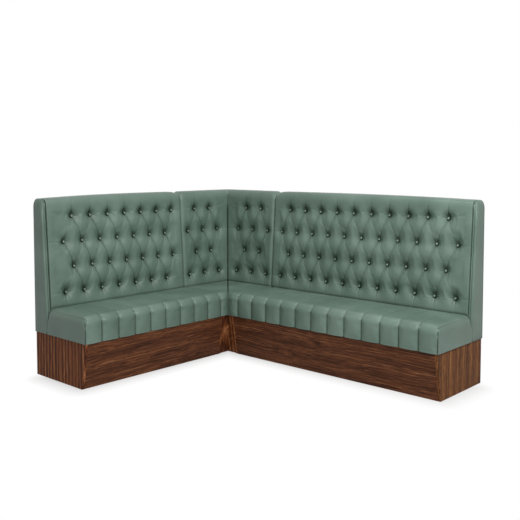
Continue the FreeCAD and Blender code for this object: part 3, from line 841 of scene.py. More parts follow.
def settled(name, bm, pinned):
    """Swells an open sheet with cloth between its pinned vertices, and divides it once."""
    mesh = bpy.data.meshes.new(name)
    bm.to_mesh(mesh)
    bm.free()
    sheet = bpy.data.objects.new(name, mesh)
    bpy.context.scene.collection.objects.link(sheet)
    start = np.empty(len(mesh.vertices) * 3)
    mesh.vertices.foreach_get("co", start)
    start = start.reshape(-1, 3)
    group = sheet.vertex_groups.new(name="pinned")
    for weight in np.unique(pinned):
        chosen = np.nonzero(pinned == weight)[0].tolist()
        group.add(chosen, float(weight), "REPLACE")
    swell(sheet)
    moved = evaluated_places(sheet) - start
    lengths = np.maximum(np.linalg.norm(moved, axis=1), 1e-9)
    capped = start + moved * (settle_cap * np.tanh(lengths / settle_cap) / lengths)[:, None]
    sheet.modifiers.clear()
    mesh.vertices.foreach_set("co", capped.ravel())
    print(name, "settled, moved up to", round(float(lengths.max()), 4))
    divide = sheet.modifiers.new("divide", "SUBSURF")
    divide.levels = divide.render_levels = 1
    ready = sheet.evaluated_get(bpy.context.evaluated_depsgraph_get())
    smooth_mesh = bpy.data.meshes.new_from_object(ready)
    bm = bmesh.new()
    bm.from_mesh(smooth_mesh)
    bpy.data.objects.remove(sheet)
    for spent in (mesh, smooth_mesh):
        bpy.data.meshes.remove(spent)
    return bm


def evaluated_places(sheet):
    """Places of an object's vertices after its modifiers."""
    ready = sheet.evaluated_get(bpy.context.evaluated_depsgraph_get()).data
    places = np.empty(len(ready.vertices) * 3)
    ready.vertices.foreach_get("co", places)
    return places.reshape(-1, 3)


def swell(sheet):
    """Runs the cloth on one sheet."""
    cloth = sheet.modifiers.new("cloth", "CLOTH")
    settings = cloth.settings
    settings.quality = 4
    settings.mass = 0.4
    settings.air_damping = 6
    settings.tension_stiffness = settings.compression_stiffness = 30
    settings.shear_stiffness = 10
    settings.bending_stiffness = 2.5
    settings.use_pressure = True
    settings.uniform_pressure_force = settle_pressure
    settings.vertex_group_mass = "pinned"
    settings.pin_stiffness = 2
    settings.shrink_min = settings.shrink_max = spare_leather
    settings.effector_weights.gravity = 0
    cloth.collision_settings.use_collision = False
    cloth.point_cache.frame_end = settle_frames
    for frame_number in range(1, settle_frames + 1):
        bpy.context.scene.frame_set(frame_number)


print("leather settles for", settle_frames, "frames at a pressure of", settle_pressure)

# %% [markdown]
# ## Fine relief
# After the division come the details that are narrower than the settling could hold: the sharp
# line in the middle of each fold, the small puckers that run out from every button, and the
# soft unevenness of hide over wadding. Each vertex also keeps a painted shade, which makes the
# leather's colour darker down in the folds, above and round the buttons and in a mitre, as shade would.

# %% Relief on the backs
line_depths = {True: (2.8 * mm, 1.2 * mm), False: (2.3 * mm, 1.7 * mm)}
line_width = 2.0 * mm
# Painted shade along the two families of folds, set apart for each wall by how the light falls on it.
line_shades = {True: (0.48, 0.16), False: (0.32, 0.24)}
shade_width = 2.4 * mm
mitre_shade = 0.7
hollow_shade = 0.66
hang_shade = 0.30
hang_rise = 20 * mm
hang_size = 34 * mm
ring_shade = 0.40
ring_width = 4 * mm
line_near_button = 1.3
pucker_height = 1.1 * mm
pucker_place = 24 * mm
pucker_spread = 11 * mm
pucker_count = 9
unevenness = 0.7 * mm
unevenness_size = 70 * mm


def relief(pattern, along, height):
    """Height of the fine relief, inwards where it is negative."""
    inner_along = np.clip(along, pattern.first, pattern.last)
    inner_height = np.clip(height, 0, pattern.reach)
    down, up, spacing = fold_distances(pattern, inner_along, inner_height)
    outside = np.maximum(np.abs(along - inner_along), np.abs(height - inner_height))
    depth_down, depth_up = line_depths[pattern.short]
    lines = depth_down * np.exp(-down / line_width) + depth_up * np.exp(-up / line_width)
    lines *= 1 - ease(outside / (20 * mm))
    near = 0 * along
    puckers = 0 * along
    for aside, above, real in near_buttons(pattern, along, height):
        away = np.hypot(aside, above)
        near += real * np.exp(-away / (30 * mm))
        angle = np.arctan2(above, aside)
        phase = np.sin(12.9898 * (along - aside) / mm + 78.233 * (height - above) / mm) * math.pi
        wave = np.cos(pucker_count * angle + phase)
        ring = np.exp(-((away - pucker_place) / pucker_spread) ** 2)
        puckers += real * pucker_height * wave * ring
    return puckers - lines * (1 + line_near_button * near)


def line_shade(pattern, along, height):
    """How much shade is painted into the folds' narrow lines, above and round the buttons and in a
    mitre.
    """
    inner_along = np.clip(along, pattern.first, pattern.last)
    inner_height = np.clip(height, 0, pattern.reach)
    down, up, spacing = fold_distances(pattern, inner_along, inner_height)
    outside = np.maximum(np.abs(along - inner_along), np.abs(height - inner_height))
    dark_down, dark_up = line_shades[pattern.short]
    lines = dark_down * np.exp(-down / shade_width) + dark_up * np.exp(-up / shade_width)
    lines *= 1 - ease(outside / (20 * mm))
    # Painted shade above each button, where the leather hangs over it away from the light above, and a
    # painted dark ring round it.
    for aside, above, real in near_buttons(pattern, along, height):
        hang = np.exp(-(np.hypot(aside, above - hang_rise) / hang_size) ** 2)
        ring = np.exp(-((np.hypot(aside, above) - button_radius) / ring_width) ** 2)
        lines += real * (hang_shade * hang + ring_shade * ring)
    # Painted shade down the inner corner's mitre.
    if pattern.near_is_mitre:
        corner = ease((pattern.near_roll.start - along) / pattern.near_roll.length)
        lines += mitre_shade * corner * (1 - ease((height - pattern.reach) / (60 * mm)))
    return lines


def add_relief(bm, pattern):
    """Adds the fine relief to a divided back and stores each vertex's painted shade."""
    along, height = flat_places(bm)
    heights = relief(pattern, along, height)
    depths = dips(pattern, along, height) / (pattern.crest - pattern.foam_face)
    # Painted shade: darker the deeper the leather lies, along the folds' lines, above and round each
    # button, in a mitre and in the pleats.
    shades = hollow_shade * depths + line_shade(pattern, along, height)
    shades += 0.09 * pleats(pattern, along, height) / mm
    bm.normal_update()
    painted_shade_layer = bm.verts.layers.float.new("depth")
    for vert, rise, depth, shade in zip(bm.verts, heights, depths, shades):
        soft = noise.noise(vert.co / unevenness_size) * unevenness
        vert.co += vert.normal * (rise + soft * (1 - depth))
        vert[painted_shade_layer] = shade


print("fine relief:", pucker_count, "puckers round each button")

# %% [markdown]
# ## Closing a pad
# A pad is a closed body: the tufted leather in front, and a flat side where it lies on the foam.
# The open rim is extruded onto the corners of a coarse grid on the foam's face, the grid itself
# is added, and the doubles are merged, which closes the pad without a seam.

# %% Close the pads
lining_columns = 12
lining_levels = 12


def close_pad(bm, pattern):
    """Closes a laid sheet with the flat side on the foam."""
    flat = bm.verts.layers.float_vector["pattern"]
    rim = [edge for edge in bm.edges if edge.is_boundary]
    along, height = flat_places(bm)
    low, high = (along.min(), height.min()), (along.max(), height.max())
    grown = bmesh.ops.extrude_edge_only(bm, edges=rim)["geom"]
    copies = [part for part in grown if isinstance(part, bmesh.types.BMVert)]
    for vert in copies:
        s, t, _ = vert[flat]
        column = round((s - low[0]) / (high[0] - low[0]) * lining_columns)
        share = (t - low[1]) / (pattern.roll_end - low[1])
        level = min(round(share * (lining_levels - 1)), lining_levels - 1)
        if t > pattern.roll_end + 0.6 * (pattern.rear - pattern.roll_end):
            level = lining_levels
        vert.co = lining_point(pattern, column, level)
    grid = bmesh.ops.create_grid(bm, x_segments=lining_columns, y_segments=lining_levels,
                                 size=1)["verts"]
    for vert in grid:
        column = round((vert.co.x + 1) / 2 * lining_columns)
        level = round((vert.co.y + 1) / 2 * lining_levels)
        vert.co = lining_point(pattern, column, level)
    bmesh.ops.remove_doubles(bm, verts=copies + grid, dist=join_distance)
    bmesh.ops.dissolve_degenerate(bm, edges=bm.edges, dist=join_distance)
    if pattern.short:
        bmesh.ops.transform(bm, matrix=corner_mirror, verts=bm.verts)
    bmesh.ops.recalc_face_normals(bm, faces=bm.faces)


def lining_point(pattern, column, level):
    """A grid point on the foam's face, and for the last level at the wall."""
    if level == lining_levels:
        return pattern.lining_place(column / lining_columns, 1)
    return pattern.lining_place(column / lining_columns, lining_turn * level / (lining_levels - 1))


def add_piece(name, bm, material):
    """Makes a piece of the bench from a bmesh, with smooth shading and one material."""
    mesh = bpy.data.meshes.new(name)
    bm.to_mesh(mesh)
    bm.free()
    mesh.materials.append(material)
    mesh.polygons.foreach_set("use_smooth", [True] * len(mesh.polygons))
    piece = bpy.data.objects.new(name, mesh)
    bpy.context.scene.collection.objects.link(piece)
    return piece


print("pads close with", lining_columns, "by", lining_levels, "cells")

# %% [markdown]
# ## Leather
# The covers are semi-aniline upholstery hide: dyed sage green, with an embossed pebble grain and
# a satin finish. To the eye that gives soft, wide highlights, slight clouds in the colour, and
# shade in the folds, which is also painted into the colour here. The real grain is about a
# millimetre wide, too fine for this picture, so it is drawn about five times as coarse.

# %% Leather material
grain_size = 5 * mm
grain_height = 0.10 * mm
crease_size = 38 * mm
crease_height = 0.5 * mm
cloud_size = 260 * mm


def leather_material(name, gloss, tones):
    """Dyed hide with pebble grain, soft creases, clouds of colour and painted shade in its folds."""
    material = new_material(name)
    place = node(material, "ShaderNodeTexCoord").outputs["Object"]
    clouds = node(material, "ShaderNodeTexNoise",
                  {"Vector": place, "Scale": 1 / cloud_size, "Detail": 3.0})
    dye = ramp(material, clouds.outputs["Fac"], list(zip((0.3, 0.5, 0.7), tones)))
    # The attribute named depth holds painted shade; this ramp darkens the dye with it in folds, seams
    # and round buttons.
    depth = node(material, "ShaderNodeAttribute", attribute_name="depth")
    shade = ramp(material, depth.outputs["Fac"],
                 [(0.20, "#FFFFFF"), (0.60, "#C8D1CC"), (0.95, "#485C51")])
    colour = node(material, "ShaderNodeMix",
                  {0: 1.0, 6: dye.outputs[0], 7: shade.outputs[0]},
                  data_type="RGBA", blend_type="MULTIPLY")
    grain = node(material, "ShaderNodeTexVoronoi",
                 {"Vector": place, "Scale": 1 / grain_size}, feature="SMOOTH_F1")
    creases = node(material, "ShaderNodeTexNoise",
                   {"Vector": place, "Scale": 1 / crease_size, "Detail": 4.0, "Roughness": 0.6})
    soft = node(material, "ShaderNodeBump",
                {"Height": creases.outputs["Fac"], "Strength": 1.0, "Distance": crease_height})
    fine = node(material, "ShaderNodeBump",
                {"Height": grain.outputs["Distance"], "Strength": 1.0, "Distance": grain_height,
                 "Normal": soft.outputs[0]})
    satin = node(material, "ShaderNodeMapRange",
                 {"Value": clouds.outputs["Fac"], "To Min": gloss, "To Max": gloss + 0.10})
    skin = node(material, "ShaderNodeBsdfPrincipled",
                {"Base Color": colour.outputs[2], "Roughness": satin.outputs[0],
                 "IOR": 1.48, "Specular IOR Level": 0.32, "Normal": fine.outputs[0]})
    node(material, "ShaderNodeOutputMaterial", {"Surface": skin.outputs[0]})
    return material


leather = leather_material("sage semi-aniline leather", 0.39, ("#4C5E54", "#54665C", "#5D6F65"))
# A lighter copy of the leather: the buttons' colour is painted light, as the highlight on each dome.
button_leather_painted_lighter = leather_material("sage leather drawn tight over buttons, painted lighter", 0.24,
                                  ("#63766B", "#6B7F74", "#74897C"))
print("leather:", leather.name, "|", button_leather_painted_lighter.name)

# %% [markdown]
# ## Boards, foam, cloth and bolts inside
# From behind and from below the bench shows how it is built: birch plywood rails, ribs and
# boards, planed softwood battens, black lining cloth, and zinc plated bolts. Under the leather
# lies cream foam. Each gets the finish it has in a workshop.

# %% Materials of the inside
def sawn_wood(name, tones, ring_width, turn):
    """Bare wood whose growth rings show as long streaks along the pattern's X axis."""
    material = new_material(name)
    place = node(material, "ShaderNodeTexCoord").outputs["Object"]
    turned = node(material, "ShaderNodeMapping", {"Vector": place, "Rotation": turn}).outputs[0]
    ring_scale = (1 / (30 * ring_width), 1 / ring_width, 1 / ring_width)
    ring_place = node(material, "ShaderNodeMapping", {"Vector": turned, "Scale": ring_scale})
    rings = node(material, "ShaderNodeTexNoise",
                 {"Vector": ring_place.outputs[0], "Scale": 1.0, "Detail": 6.0, "Distortion": 0.4})
    colours = ramp(material, rings.outputs["Fac"], list(zip((0.32, 0.5, 0.68), tones)))
    fibre_scale = (1 / (60 * mm), 1 / (1.5 * mm), 1 / (1.5 * mm))
    fibre_place = node(material, "ShaderNodeMapping", {"Vector": turned, "Scale": fibre_scale})
    fibres = node(material, "ShaderNodeTexNoise", {"Vector": fibre_place.outputs[0], "Scale": 1.0})
    rough = node(material, "ShaderNodeBump",
                 {"Height": fibres.outputs["Fac"], "Strength": 0.4, "Distance": 0.2 * mm})
    wood = node(material, "ShaderNodeBsdfPrincipled",
                {"Base Color": colours.outputs[0], "Roughness": 0.7, "Normal": rough.outputs[0]})
    node(material, "ShaderNodeOutputMaterial", {"Surface": wood.outputs[0]})
    return material


def foam_material():
    """Cream polyurethane foam with small open cells."""
    material = new_material("cut polyurethane foam")
    place = node(material, "ShaderNodeTexCoord").outputs["Object"]
    cells = node(material, "ShaderNodeTexVoronoi", {"Vector": place, "Scale": 1 / (2.5 * mm)})
    age = node(material, "ShaderNodeTexNoise", {"Vector": place, "Scale": 1 / (150 * mm)})
    colours = ramp(material, age.outputs["Fac"], [(0.35, "#D8CFA6"), (0.5, "#E3DBB8"),
                                                  (0.65, "#EBE4C8")])
    pits = node(material, "ShaderNodeBump",
                {"Height": cells.outputs["Distance"], "Strength": 0.8, "Distance": 0.6 * mm})
    skin = node(material, "ShaderNodeBsdfPrincipled",
                {"Base Color": colours.outputs[0], "Roughness": 0.95, "Normal": pits.outputs[0]})
    node(material, "ShaderNodeOutputMaterial", {"Surface": skin.outputs[0]})
    return material


def cloth_material():
    """Black spun lining cloth with a plain weave."""
    material = new_material("black woven lining cloth")
    place = node(material, "ShaderNodeTexCoord").outputs["Object"]
    warp = node(material, "ShaderNodeTexWave", {"Vector": place, "Scale": 1 / (18 * mm),
                                                "Distortion": 1.0}, bands_direction="Z")
    weft = node(material, "ShaderNodeTexWave", {"Vector": place, "Scale": 1 / (18 * mm),
                                                "Distortion": 1.0}, bands_direction="DIAGONAL")
    weave = node(material, "ShaderNodeMath", {0: warp.outputs["Fac"], 1: weft.outputs["Fac"]},
                 operation="MULTIPLY")
    colours = ramp(material, weave.outputs[0], [(0.0, "#141416"), (0.5, "#222225"),
                                                (1.0, "#333338")])
    threads = node(material, "ShaderNodeBump",
                   {"Height": weave.outputs[0], "Strength": 0.6, "Distance": 0.3 * mm})
    fibre = node(material, "ShaderNodeBsdfPrincipled",
                 {"Base Color": colours.outputs[0], "Roughness": 0.9, "Sheen Weight": 0.2,
                  "Normal": threads.outputs[0]})
    node(material, "ShaderNodeOutputMaterial", {"Surface": fibre.outputs[0]})
    return material


def zinc_material():
    """Zinc plated steel with faint clouds in its plating."""
    material = new_material("zinc plated steel")
    place = node(material, "ShaderNodeTexCoord").outputs["Object"]
    plating = node(material, "ShaderNodeTexNoise", {"Vector": place, "Scale": 1 / (6 * mm),
                                                    "Detail": 3.0})
    colours = ramp(material, plating.outputs["Fac"], [(0.35, "#9C9EA3"), (0.5, "#B2B4B8"),
                                                      (0.65, "#C6C7C6")])
    wear = node(material, "ShaderNodeMapRange", {"Value": plating.outputs["Fac"],
                                                 "To Min": 0.25, "To Max": 0.45})
    metal = node(material, "ShaderNodeBsdfPrincipled",
                 {"Base Color": colours.outputs[0], "Roughness": wear.outputs[0], "Metallic": 1.0})
    node(material, "ShaderNodeOutputMaterial", {"Surface": metal.outputs[0]})
    return material


birch_tones = ("#B58F5E", "#C9A776", "#D8BC90")
pine_tones = ("#B98A4C", "#D2AC6E", "#E0C48F")
finishes = {
    "leather": leather,
    "walnut": walnut_upright,
    "plywood": sawn_wood("birch plywood along the long wall", birch_tones, 30 * mm, (0, 0, 0)),
    "softwood": sawn_wood("planed softwood", pine_tones, 9 * mm, (0, 0, 0)),
    "foam": foam_material(),
    "lining_cloth": cloth_material(),
    "zinc_steel": zinc_material(),
}
birch_short = sawn_wood("birch plywood along the short wall", birch_tones, 30 * mm, (0, 0, quarter))

# %% [markdown]
# The record names a material slot for every node, so the dressing follows it. The grain of the
# two long fronts runs along them, and on the short wall the plywood is turned with its boards.

# %% Dress the construction model
slots = {part["node"]: part["material_slot"] for part in frame["record"]["subparts"]}
for name, part in frame["nodes"].items():
    finish = finishes[slots[name]]
    if name == "plinth_front_right":
        finish = walnut_long
    elif name == "plinth_front_left":
        finish = walnut_short
    # The right end takes the walnut copy painted lighter, as the light on the face towards the key
    # light.
    elif name == "plinth_end_right":
        finish = walnut_end_painted_lighter
    elif slots[name] == "plywood" and name.endswith("left"):
        finish = birch_short
    part.data.materials.clear()
    part.data.materials.append(finish)
print("dressed", len(slots), "nodes in", len(finishes), "finishes")

# %% [markdown]
# ## The four backs
# Everything above comes together: each back is laid over its section, settles, gets its relief
# and is closed. It stands for the construction model's cover of the same name.

# %% Make the backs
pin_radius = 15 * mm
pin_fold = 5 * mm
soft_hold = 60 * mm
roll_hold = 20 * mm
foot_hold = 45 * mm


def pins(pattern, bm):
    """How firmly each vertex is held: buttons, folds and rolled edges."""
    along, height = flat_places(bm)
    down, up, spacing = fold_distances(pattern, along, height)
    folds = np.exp(-(np.minimum(down, up * 1.3) / pin_fold) ** 2)
    inside = ((along > pattern.first - mm) & (along < pattern.last + mm)
              & (height > -mm) & (height < pattern.reach + mm))
    held = folds * inside
    for aside, above, real in near_buttons(pattern, along, height):
        held = np.maximum(held, real * (np.hypot(aside, above) < pin_radius))
    ahead = np.minimum(along - pattern.near_roll.start, pattern.far_roll.start - along)
    ahead = np.minimum(ahead, pattern.roll_start + roll_hold - height)
    ahead = np.minimum(ahead, height + foot_hold)
    edge = 1 - ease(ahead / soft_hold)
    return np.round(np.maximum(held, edge), 1)


for pattern in patterns:
    bm = laid_pattern(pattern)
    bm = settled("sheet_" + pattern.part, bm, pins(pattern, bm))
    add_relief(bm, pattern)
    close_pad(bm, pattern)
    open_edges = sum(1 for edge in bm.edges if not edge.is_manifold)
    back = add_piece("back_pad_" + pattern.part, bm, leather)
    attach(back, "root")
    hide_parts("back_cover_" + pattern.part)
    print(back.name, len(back.data.polygons), "faces,", open_edges, "open edges")

# %% [markdown]
# ## Boxed pads
# A seat and a back's padded end are boxed pads: a skin on five or three sides of a box, with
# rolled edges, and the foam or board inside. Each starts as a cube that planes cut into the
# lines the shape needs. Its corners are rolled by one rule, and its hollow side is closed with a
# second, coarser box round the foam.

# %% Tools for boxed pads
def cut_box(cuts, open_sides):
    """A unit box cut at shares of its length, depth and height, without its open sides."""
    bm = bmesh.new()
    bmesh.ops.create_cube(bm, size=1)
    bmesh.ops.translate(bm, verts=bm.verts, vec=(0.5, 0.5, 0.5))
    for axis, shares in enumerate(cuts):
        normal = Vector((0, 0, 0))
        normal[axis] = 1
        for share in shares:
            bmesh.ops.bisect_plane(bm, geom=bm.verts[:] + bm.edges[:] + bm.faces[:],
                                   dist=1e-7, plane_co=normal * share, plane_no=normal)
    for axis, side in open_sides:
        gone = [face for face in bm.faces
                if all(abs(vert.co[axis] - side) < 1e-6 for vert in face.verts)]
        bmesh.ops.delete(bm, geom=gone, context="FACES")
    return bm


def rolled(point, low, high, low_rolls, high_rolls):
    """A point of a box after its edges are rolled over, and the way out of the skin there."""
    inner = Vector()
    past = Vector()
    rolls = Vector()
    for axis in range(3):
        inner[axis] = min(max(point[axis], low[axis] + low_rolls[axis]),
                          high[axis] - high_rolls[axis])
        below = point[axis] < inner[axis]
        rolls[axis] = low_rolls[axis] if below else high_rolls[axis]
        past[axis] = (point[axis] - inner[axis]) / rolls[axis] if rolls[axis] > 0 else 0
    if past.length < 1e-6:
        return point.copy(), Vector((0, 0, 1))
    reach = max(abs(part) for part in past)
    past = past.normalized() * reach
    outward = Vector([past[axis] / max(rolls[axis], mm) for axis in range(3)]).normalized()
    return inner + Vector([past[axis] * rolls[axis] for axis in range(3)]), outward


def line_box(bm, cells, open_sides, inner_place):
    """Closes a boxed pad with a coarse box round its foam or board."""
    share_layer = bm.verts.layers.float_vector["share"]
    rim = [edge for edge in bm.edges if edge.is_boundary]
    grown = bmesh.ops.extrude_edge_only(bm, edges=rim)["geom"]
    copies = [part for part in grown if isinstance(part, bmesh.types.BMVert)]
    for vert in copies:
        share = [round(vert[share_layer][axis] * cells[axis]) / cells[axis] for axis in range(3)]
        vert.co = inner_place(Vector(share))
    cuts = [[i / count for i in range(1, count)] for count in cells]
    box = cut_box(cuts, open_sides)
    for vert in box.verts:
        vert.co = inner_place(vert.co.copy())
    spare = bpy.data.meshes.new("spare")
    box.to_mesh(spare)
    box.free()
    before = set(bm.verts)
    bm.from_mesh(spare)
    bpy.data.meshes.remove(spare)
    added = [vert for vert in bm.verts if vert not in before]
    bmesh.ops.remove_doubles(bm, verts=copies + added, dist=join_distance)
    bmesh.ops.dissolve_degenerate(bm, edges=bm.edges, dist=join_distance)


print("boxed pads are cut, rolled and lined")

# %% [markdown]
# ## Seats
# The seat leather is sewn in long flutes: each seam runs down the front and pulls the leather
# in, and between seams it swells. Over the top the seams go on to the back as thin lines. At the
# inner corner the two seats meet on the corner's diagonal. The seams' places are read from the
# construction model, where they are the innermost points of the scalloped front.

# %% Seat shape
seat_crown = 6 * mm
seat_puff = 10 * mm
front_roll = 54 * mm
pinch_depth = 9 * mm
pinch_length = 44 * mm
rear_roll = 28 * mm
end_roll_front = 26 * mm
end_roll_rear = 48 * mm
seat_seam_roll = 6 * mm
mitre_zone = 26 * mm
flute_swell = 8 * mm
seam_cusp = 9 * mm
seam_cusp_width = 6 * mm
top_line_front = 3.2 * mm
top_line_rear = 1.8 * mm
top_line_width = 3 * mm


class SeatPattern:
    """One seat: its box, seams and foam, read from the construction model."""

    def __init__(self, part, on_short_wall):
        self.part = part
        self.short = on_short_wall
        cover = joined_copy("seat_cover_" + part, on_short_wall)
        places = [vert.co.copy() for vert in cover.verts]
        cover.free()
        self.low = Vector((0, min(co.y for co in places), min(co.z for co in places)))
        self.high = Vector((max(co.x for co in places), max(co.y for co in places),
                            max(co.z for co in places) - seat_crown + seat_puff))
        front = [co for co in places if abs(co.z - self.low.z) < mm and co.x > -co.y + 2 * mm
                 and co.y < self.low.y + 2 * flute_swell]
        deepest = max(co.y for co in front)
        self.seams = distinct([co.x for co in front if co.y > deepest - 0.2 * mm
                               and co.x < self.high.x - 40 * mm]) + [self.high.x]
        self.low.x = -self.low.y
        foam = joined_copy("seat_foam_" + part, on_short_wall)
        corners = [vert.co.copy() for vert in foam.verts]
        foam.free()
        self.foam_front = min(co.y for co in corners)
        self.foam_rear = max(co.y for co in corners)
        self.foam_end = max(co.x for co in corners)
        self.foam_top = max(co.z for co in corners)
        self.foam_mitre = min(co.x + co.y for co in corners)

    def cuts(self):
        """Shares of the length, depth and height at which the pad's box is cut."""
        near, far = self.low.x, self.high.x
        along = [near + step * mm for step in (1.5, 3.5, 6, 10, 16, mitre_zone / mm)]
        start = near + mitre_zone
        along += [start + (self.seams[0] - start) * i / 24 for i in range(1, 24)]
        for seam in self.seams:
            along += [seam + sign * step * mm for step in (1.5, 3.5, 7, 12, 20, 31, 44, 58)
                      for sign in (-1, 1)] + [seam]
        along = [x for x in along if x < far - 60 * mm]
        along += [far - step * mm for step in (1, 2.5, 4, 6, 9, 13, 18, 24, 32, 42, 56)]
        along = sorted({round(x, 4) for x in along if near + mm < x < far - 0.5 * mm})
        depth = [self.low.y + step * mm for step in (1, 2.5, 4, 6, 9, 14, 20, 28, 37, 46, 55)]
        depth += [self.low.y + step * mm for step in range(72, 430, 22)]
        depth += [self.high.y - step * mm for step in (1.5, 3.5, 6, 10, 15, 21, 28)]
        heights = [self.low.z + step * mm for step in (4, 12, 24, 40, 58, 76, 94, 110)]
        heights += [self.high.z - step * mm for step in (2, 5, 9, 14, 20, 28, 37, 46, 55)]
        size = self.high - self.low
        return ([(x - near) / size.x for x in along],
                [(y - self.low.y) / size.y for y in sorted(depth)],
                [(z - self.low.z) / size.z for z in sorted(heights)])

    def box_point(self, share):
        """Point of the pad's box at shares of its length, depth and height."""
        size = self.high - self.low
        return self.low + Vector([share[axis] * size[axis] for axis in range(3)])

    def place(self, share):
        """Place of a point of the pad's box on the swollen, seamed and mitred pad."""
        size = self.high - self.low
        point = self.box_point(share)
        upper = smooth((point.z - self.high.z + front_roll + 40 * mm) / (40 * mm))
        low_rolls = (seat_seam_roll, seat_seam_roll + (front_roll - seat_seam_roll) * upper, 0)
        rear_share = share[1]
        end_roll = end_roll_front + (end_roll_rear - end_roll_front) * rear_share
        end = seat_seam_roll + (end_roll - seat_seam_roll) * upper
        rear = seat_seam_roll + (rear_roll - seat_seam_roll) * upper
        high_rolls = (end, rear, front_roll)
        placed, outward = rolled(point, self.low, self.high, low_rolls, high_rolls)
        top = smooth(outward.z * 1.3)
        middle = (placed.y - (self.low.y + self.high.y) / 2) / (size.y / 2)
        placed.z += seat_crown * (1 - min(1, middle * middle)) * top
        placed -= outward * self.dip(point, outward)
        placed.x = self.mitred(placed)
        return placed

    def dip(self, point, outward):
        """Depth of the seams below the skin's crests."""
        aside = min(abs(point.x - seam) for seam in self.seams + [self.low.x])
        between = min(1, aside / ((self.seams[1] - self.seams[0]) / 2))
        front = smooth(-outward.y * 1.6) * (1 - smooth(abs(outward.x) * 2))
        top = smooth(outward.z * 1.5) * (1 - front)
        dip = (flute_swell * (1 - between) ** 2 + seam_cusp * math.exp(-aside / seam_cusp_width)) * front
        if point.x > self.seams[0] - 40 * mm:
            rear_share = (point.y - self.low.y) / (self.high.y - self.low.y)
            line = top_line_front + (top_line_rear - top_line_front) * rear_share
            pinch = pinch_depth * math.exp(-(point.y - self.low.y) / pinch_length)
            dip += (line * math.exp(-aside / top_line_width) + pinch * (1 - between) ** 3) * top
        return dip

    def mitred(self, placed):
        """Place along the wall once the near end is cut on the corner's diagonal."""
        past = placed.x - self.low.x
        start = -placed.y + mitre_gap
        if placed.x > self.seams[0]:
            return placed.x
        if past < mitre_zone:
            return start + past
        share = (past - mitre_zone) / (self.seams[0] - self.low.x - mitre_zone)
        return start + mitre_zone + share * (self.seams[0] - start - mitre_zone)

    def foam_place(self, share):
        """Place of a point of the coarse box round the foam."""
        front = self.foam_front - foam_gap
        rear = self.foam_rear + foam_gap
        depth = front + (rear - front) * share.y
        near = self.foam_mitre - foam_gap - depth
        end = self.foam_end + foam_gap
        height = self.low.z + (self.foam_top + foam_gap - self.low.z) * share.z
        return Vector((near + (end - near) * share.x, depth, height))


def seat_sheet(seat):
    """The skin of a seat, open below, with its box shares kept."""
    bm = cut_box(seat.cuts(), [(2, 0)])
    layer = bm.verts.layers.float_vector.new("share")
    for vert in bm.verts:
        vert[layer] = vert.co.copy()
        vert.co = seat.place(vert[layer])
    return bm


seats = [SeatPattern("right", False), SeatPattern("left", True)]
for seat in seats:
    print("seat", seat.part, "seams", [round(seam, 3) for seam in seat.seams], "box",
          tuple(seat.low), tuple(seat.high))

# %% Make the seats
seat_cells = (12, 4, 2)
seat_unevenness = 1.2 * mm
seat_unevenness_size = 110 * mm


def seat_pins(seat, bm):
    """How firmly each vertex of a seat's skin is held: seams, mitre, rear and lower rim."""
    layer = bm.verts.layers.float_vector["share"]
    held = []
    for vert in bm.verts:
        point = seat.box_point(vert[layer])
        aside = min(abs(point.x - seam) for seam in seat.seams + [seat.low.x])
        top = point.z > seat.high.z - front_roll / 2
        seam_hold = math.exp(-(aside / (6 * mm)) ** 2)
        rim = point.z < seat.low.z + 12 * mm or point.y > seat.high.y - rear_roll
        side = point.x > seat.high.x - 0.5 * mm
        held.append(1 if rim else max(seam_hold, 0.7 if side else 0.5 if top else 0.1))
    return np.round(np.array(held), 1)


def seat_relief(seat, bm):
    """Adds the unevenness of a seat and stores the painted shade along its seams."""
    layer = bm.verts.layers.float_vector["share"]
    painted_shade_layer = bm.verts.layers.float.new("depth")
    bm.normal_update()
    for vert in bm.verts:
        point = seat.box_point(vert[layer])
        aside = min(abs(point.x - seam) for seam in seat.seams)
        line = math.exp(-aside / (5.5 * mm))
        front = smooth((seat.high.z - point.z) / front_roll)
        vert.co += vert.normal * noise.noise(vert.co / seat_unevenness_size) * seat_unevenness
        side = point.x > seat.high.x - 0.5 * mm and point.y > seat.low.y + 6 * mm
        shaded = point.x > seat.seams[0] - 10 * mm and not side
        # Painted shade along the seams, stronger down the front than over the top, and none on the end
        # face.
        vert[painted_shade_layer] = line * (0.55 + 0.4 * front) if shaded else 0


for seat in seats:
    bm = seat_sheet(seat)
    bm = settled("seat_sheet_" + seat.part, bm, seat_pins(seat, bm))
    seat_relief(seat, bm)
    line_box(bm, seat_cells, [(2, 0)], seat.foam_place)
    if seat.short:
        bmesh.ops.transform(bm, matrix=corner_mirror, verts=bm.verts)
    bmesh.ops.recalc_face_normals(bm, faces=bm.faces)
    open_edges = sum(1 for edge in bm.edges if not edge.is_manifold)
    pad = add_piece("seat_pad_" + seat.part, bm, leather)
    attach(pad, "root")
    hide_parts("seat_cover_" + seat.part)
    print(pad.name, len(pad.data.polygons), "faces,", open_edges, "open edges")

# %% [markdown]
# ## Padded ends
# Each back ends in an upright board, thinly padded and covered in plain leather. Its front edge
# is a narrow strip beside the buttoned face, and its top outer corner is well rounded.

# %% Ends of the backs
end_edge_roll = 10 * mm
end_top_roll = 32 * mm
strip_roll = 2.0 * mm
strip_seam = 11 * mm
strip_seam_depth = 2.2 * mm
straighten = 100 * mm


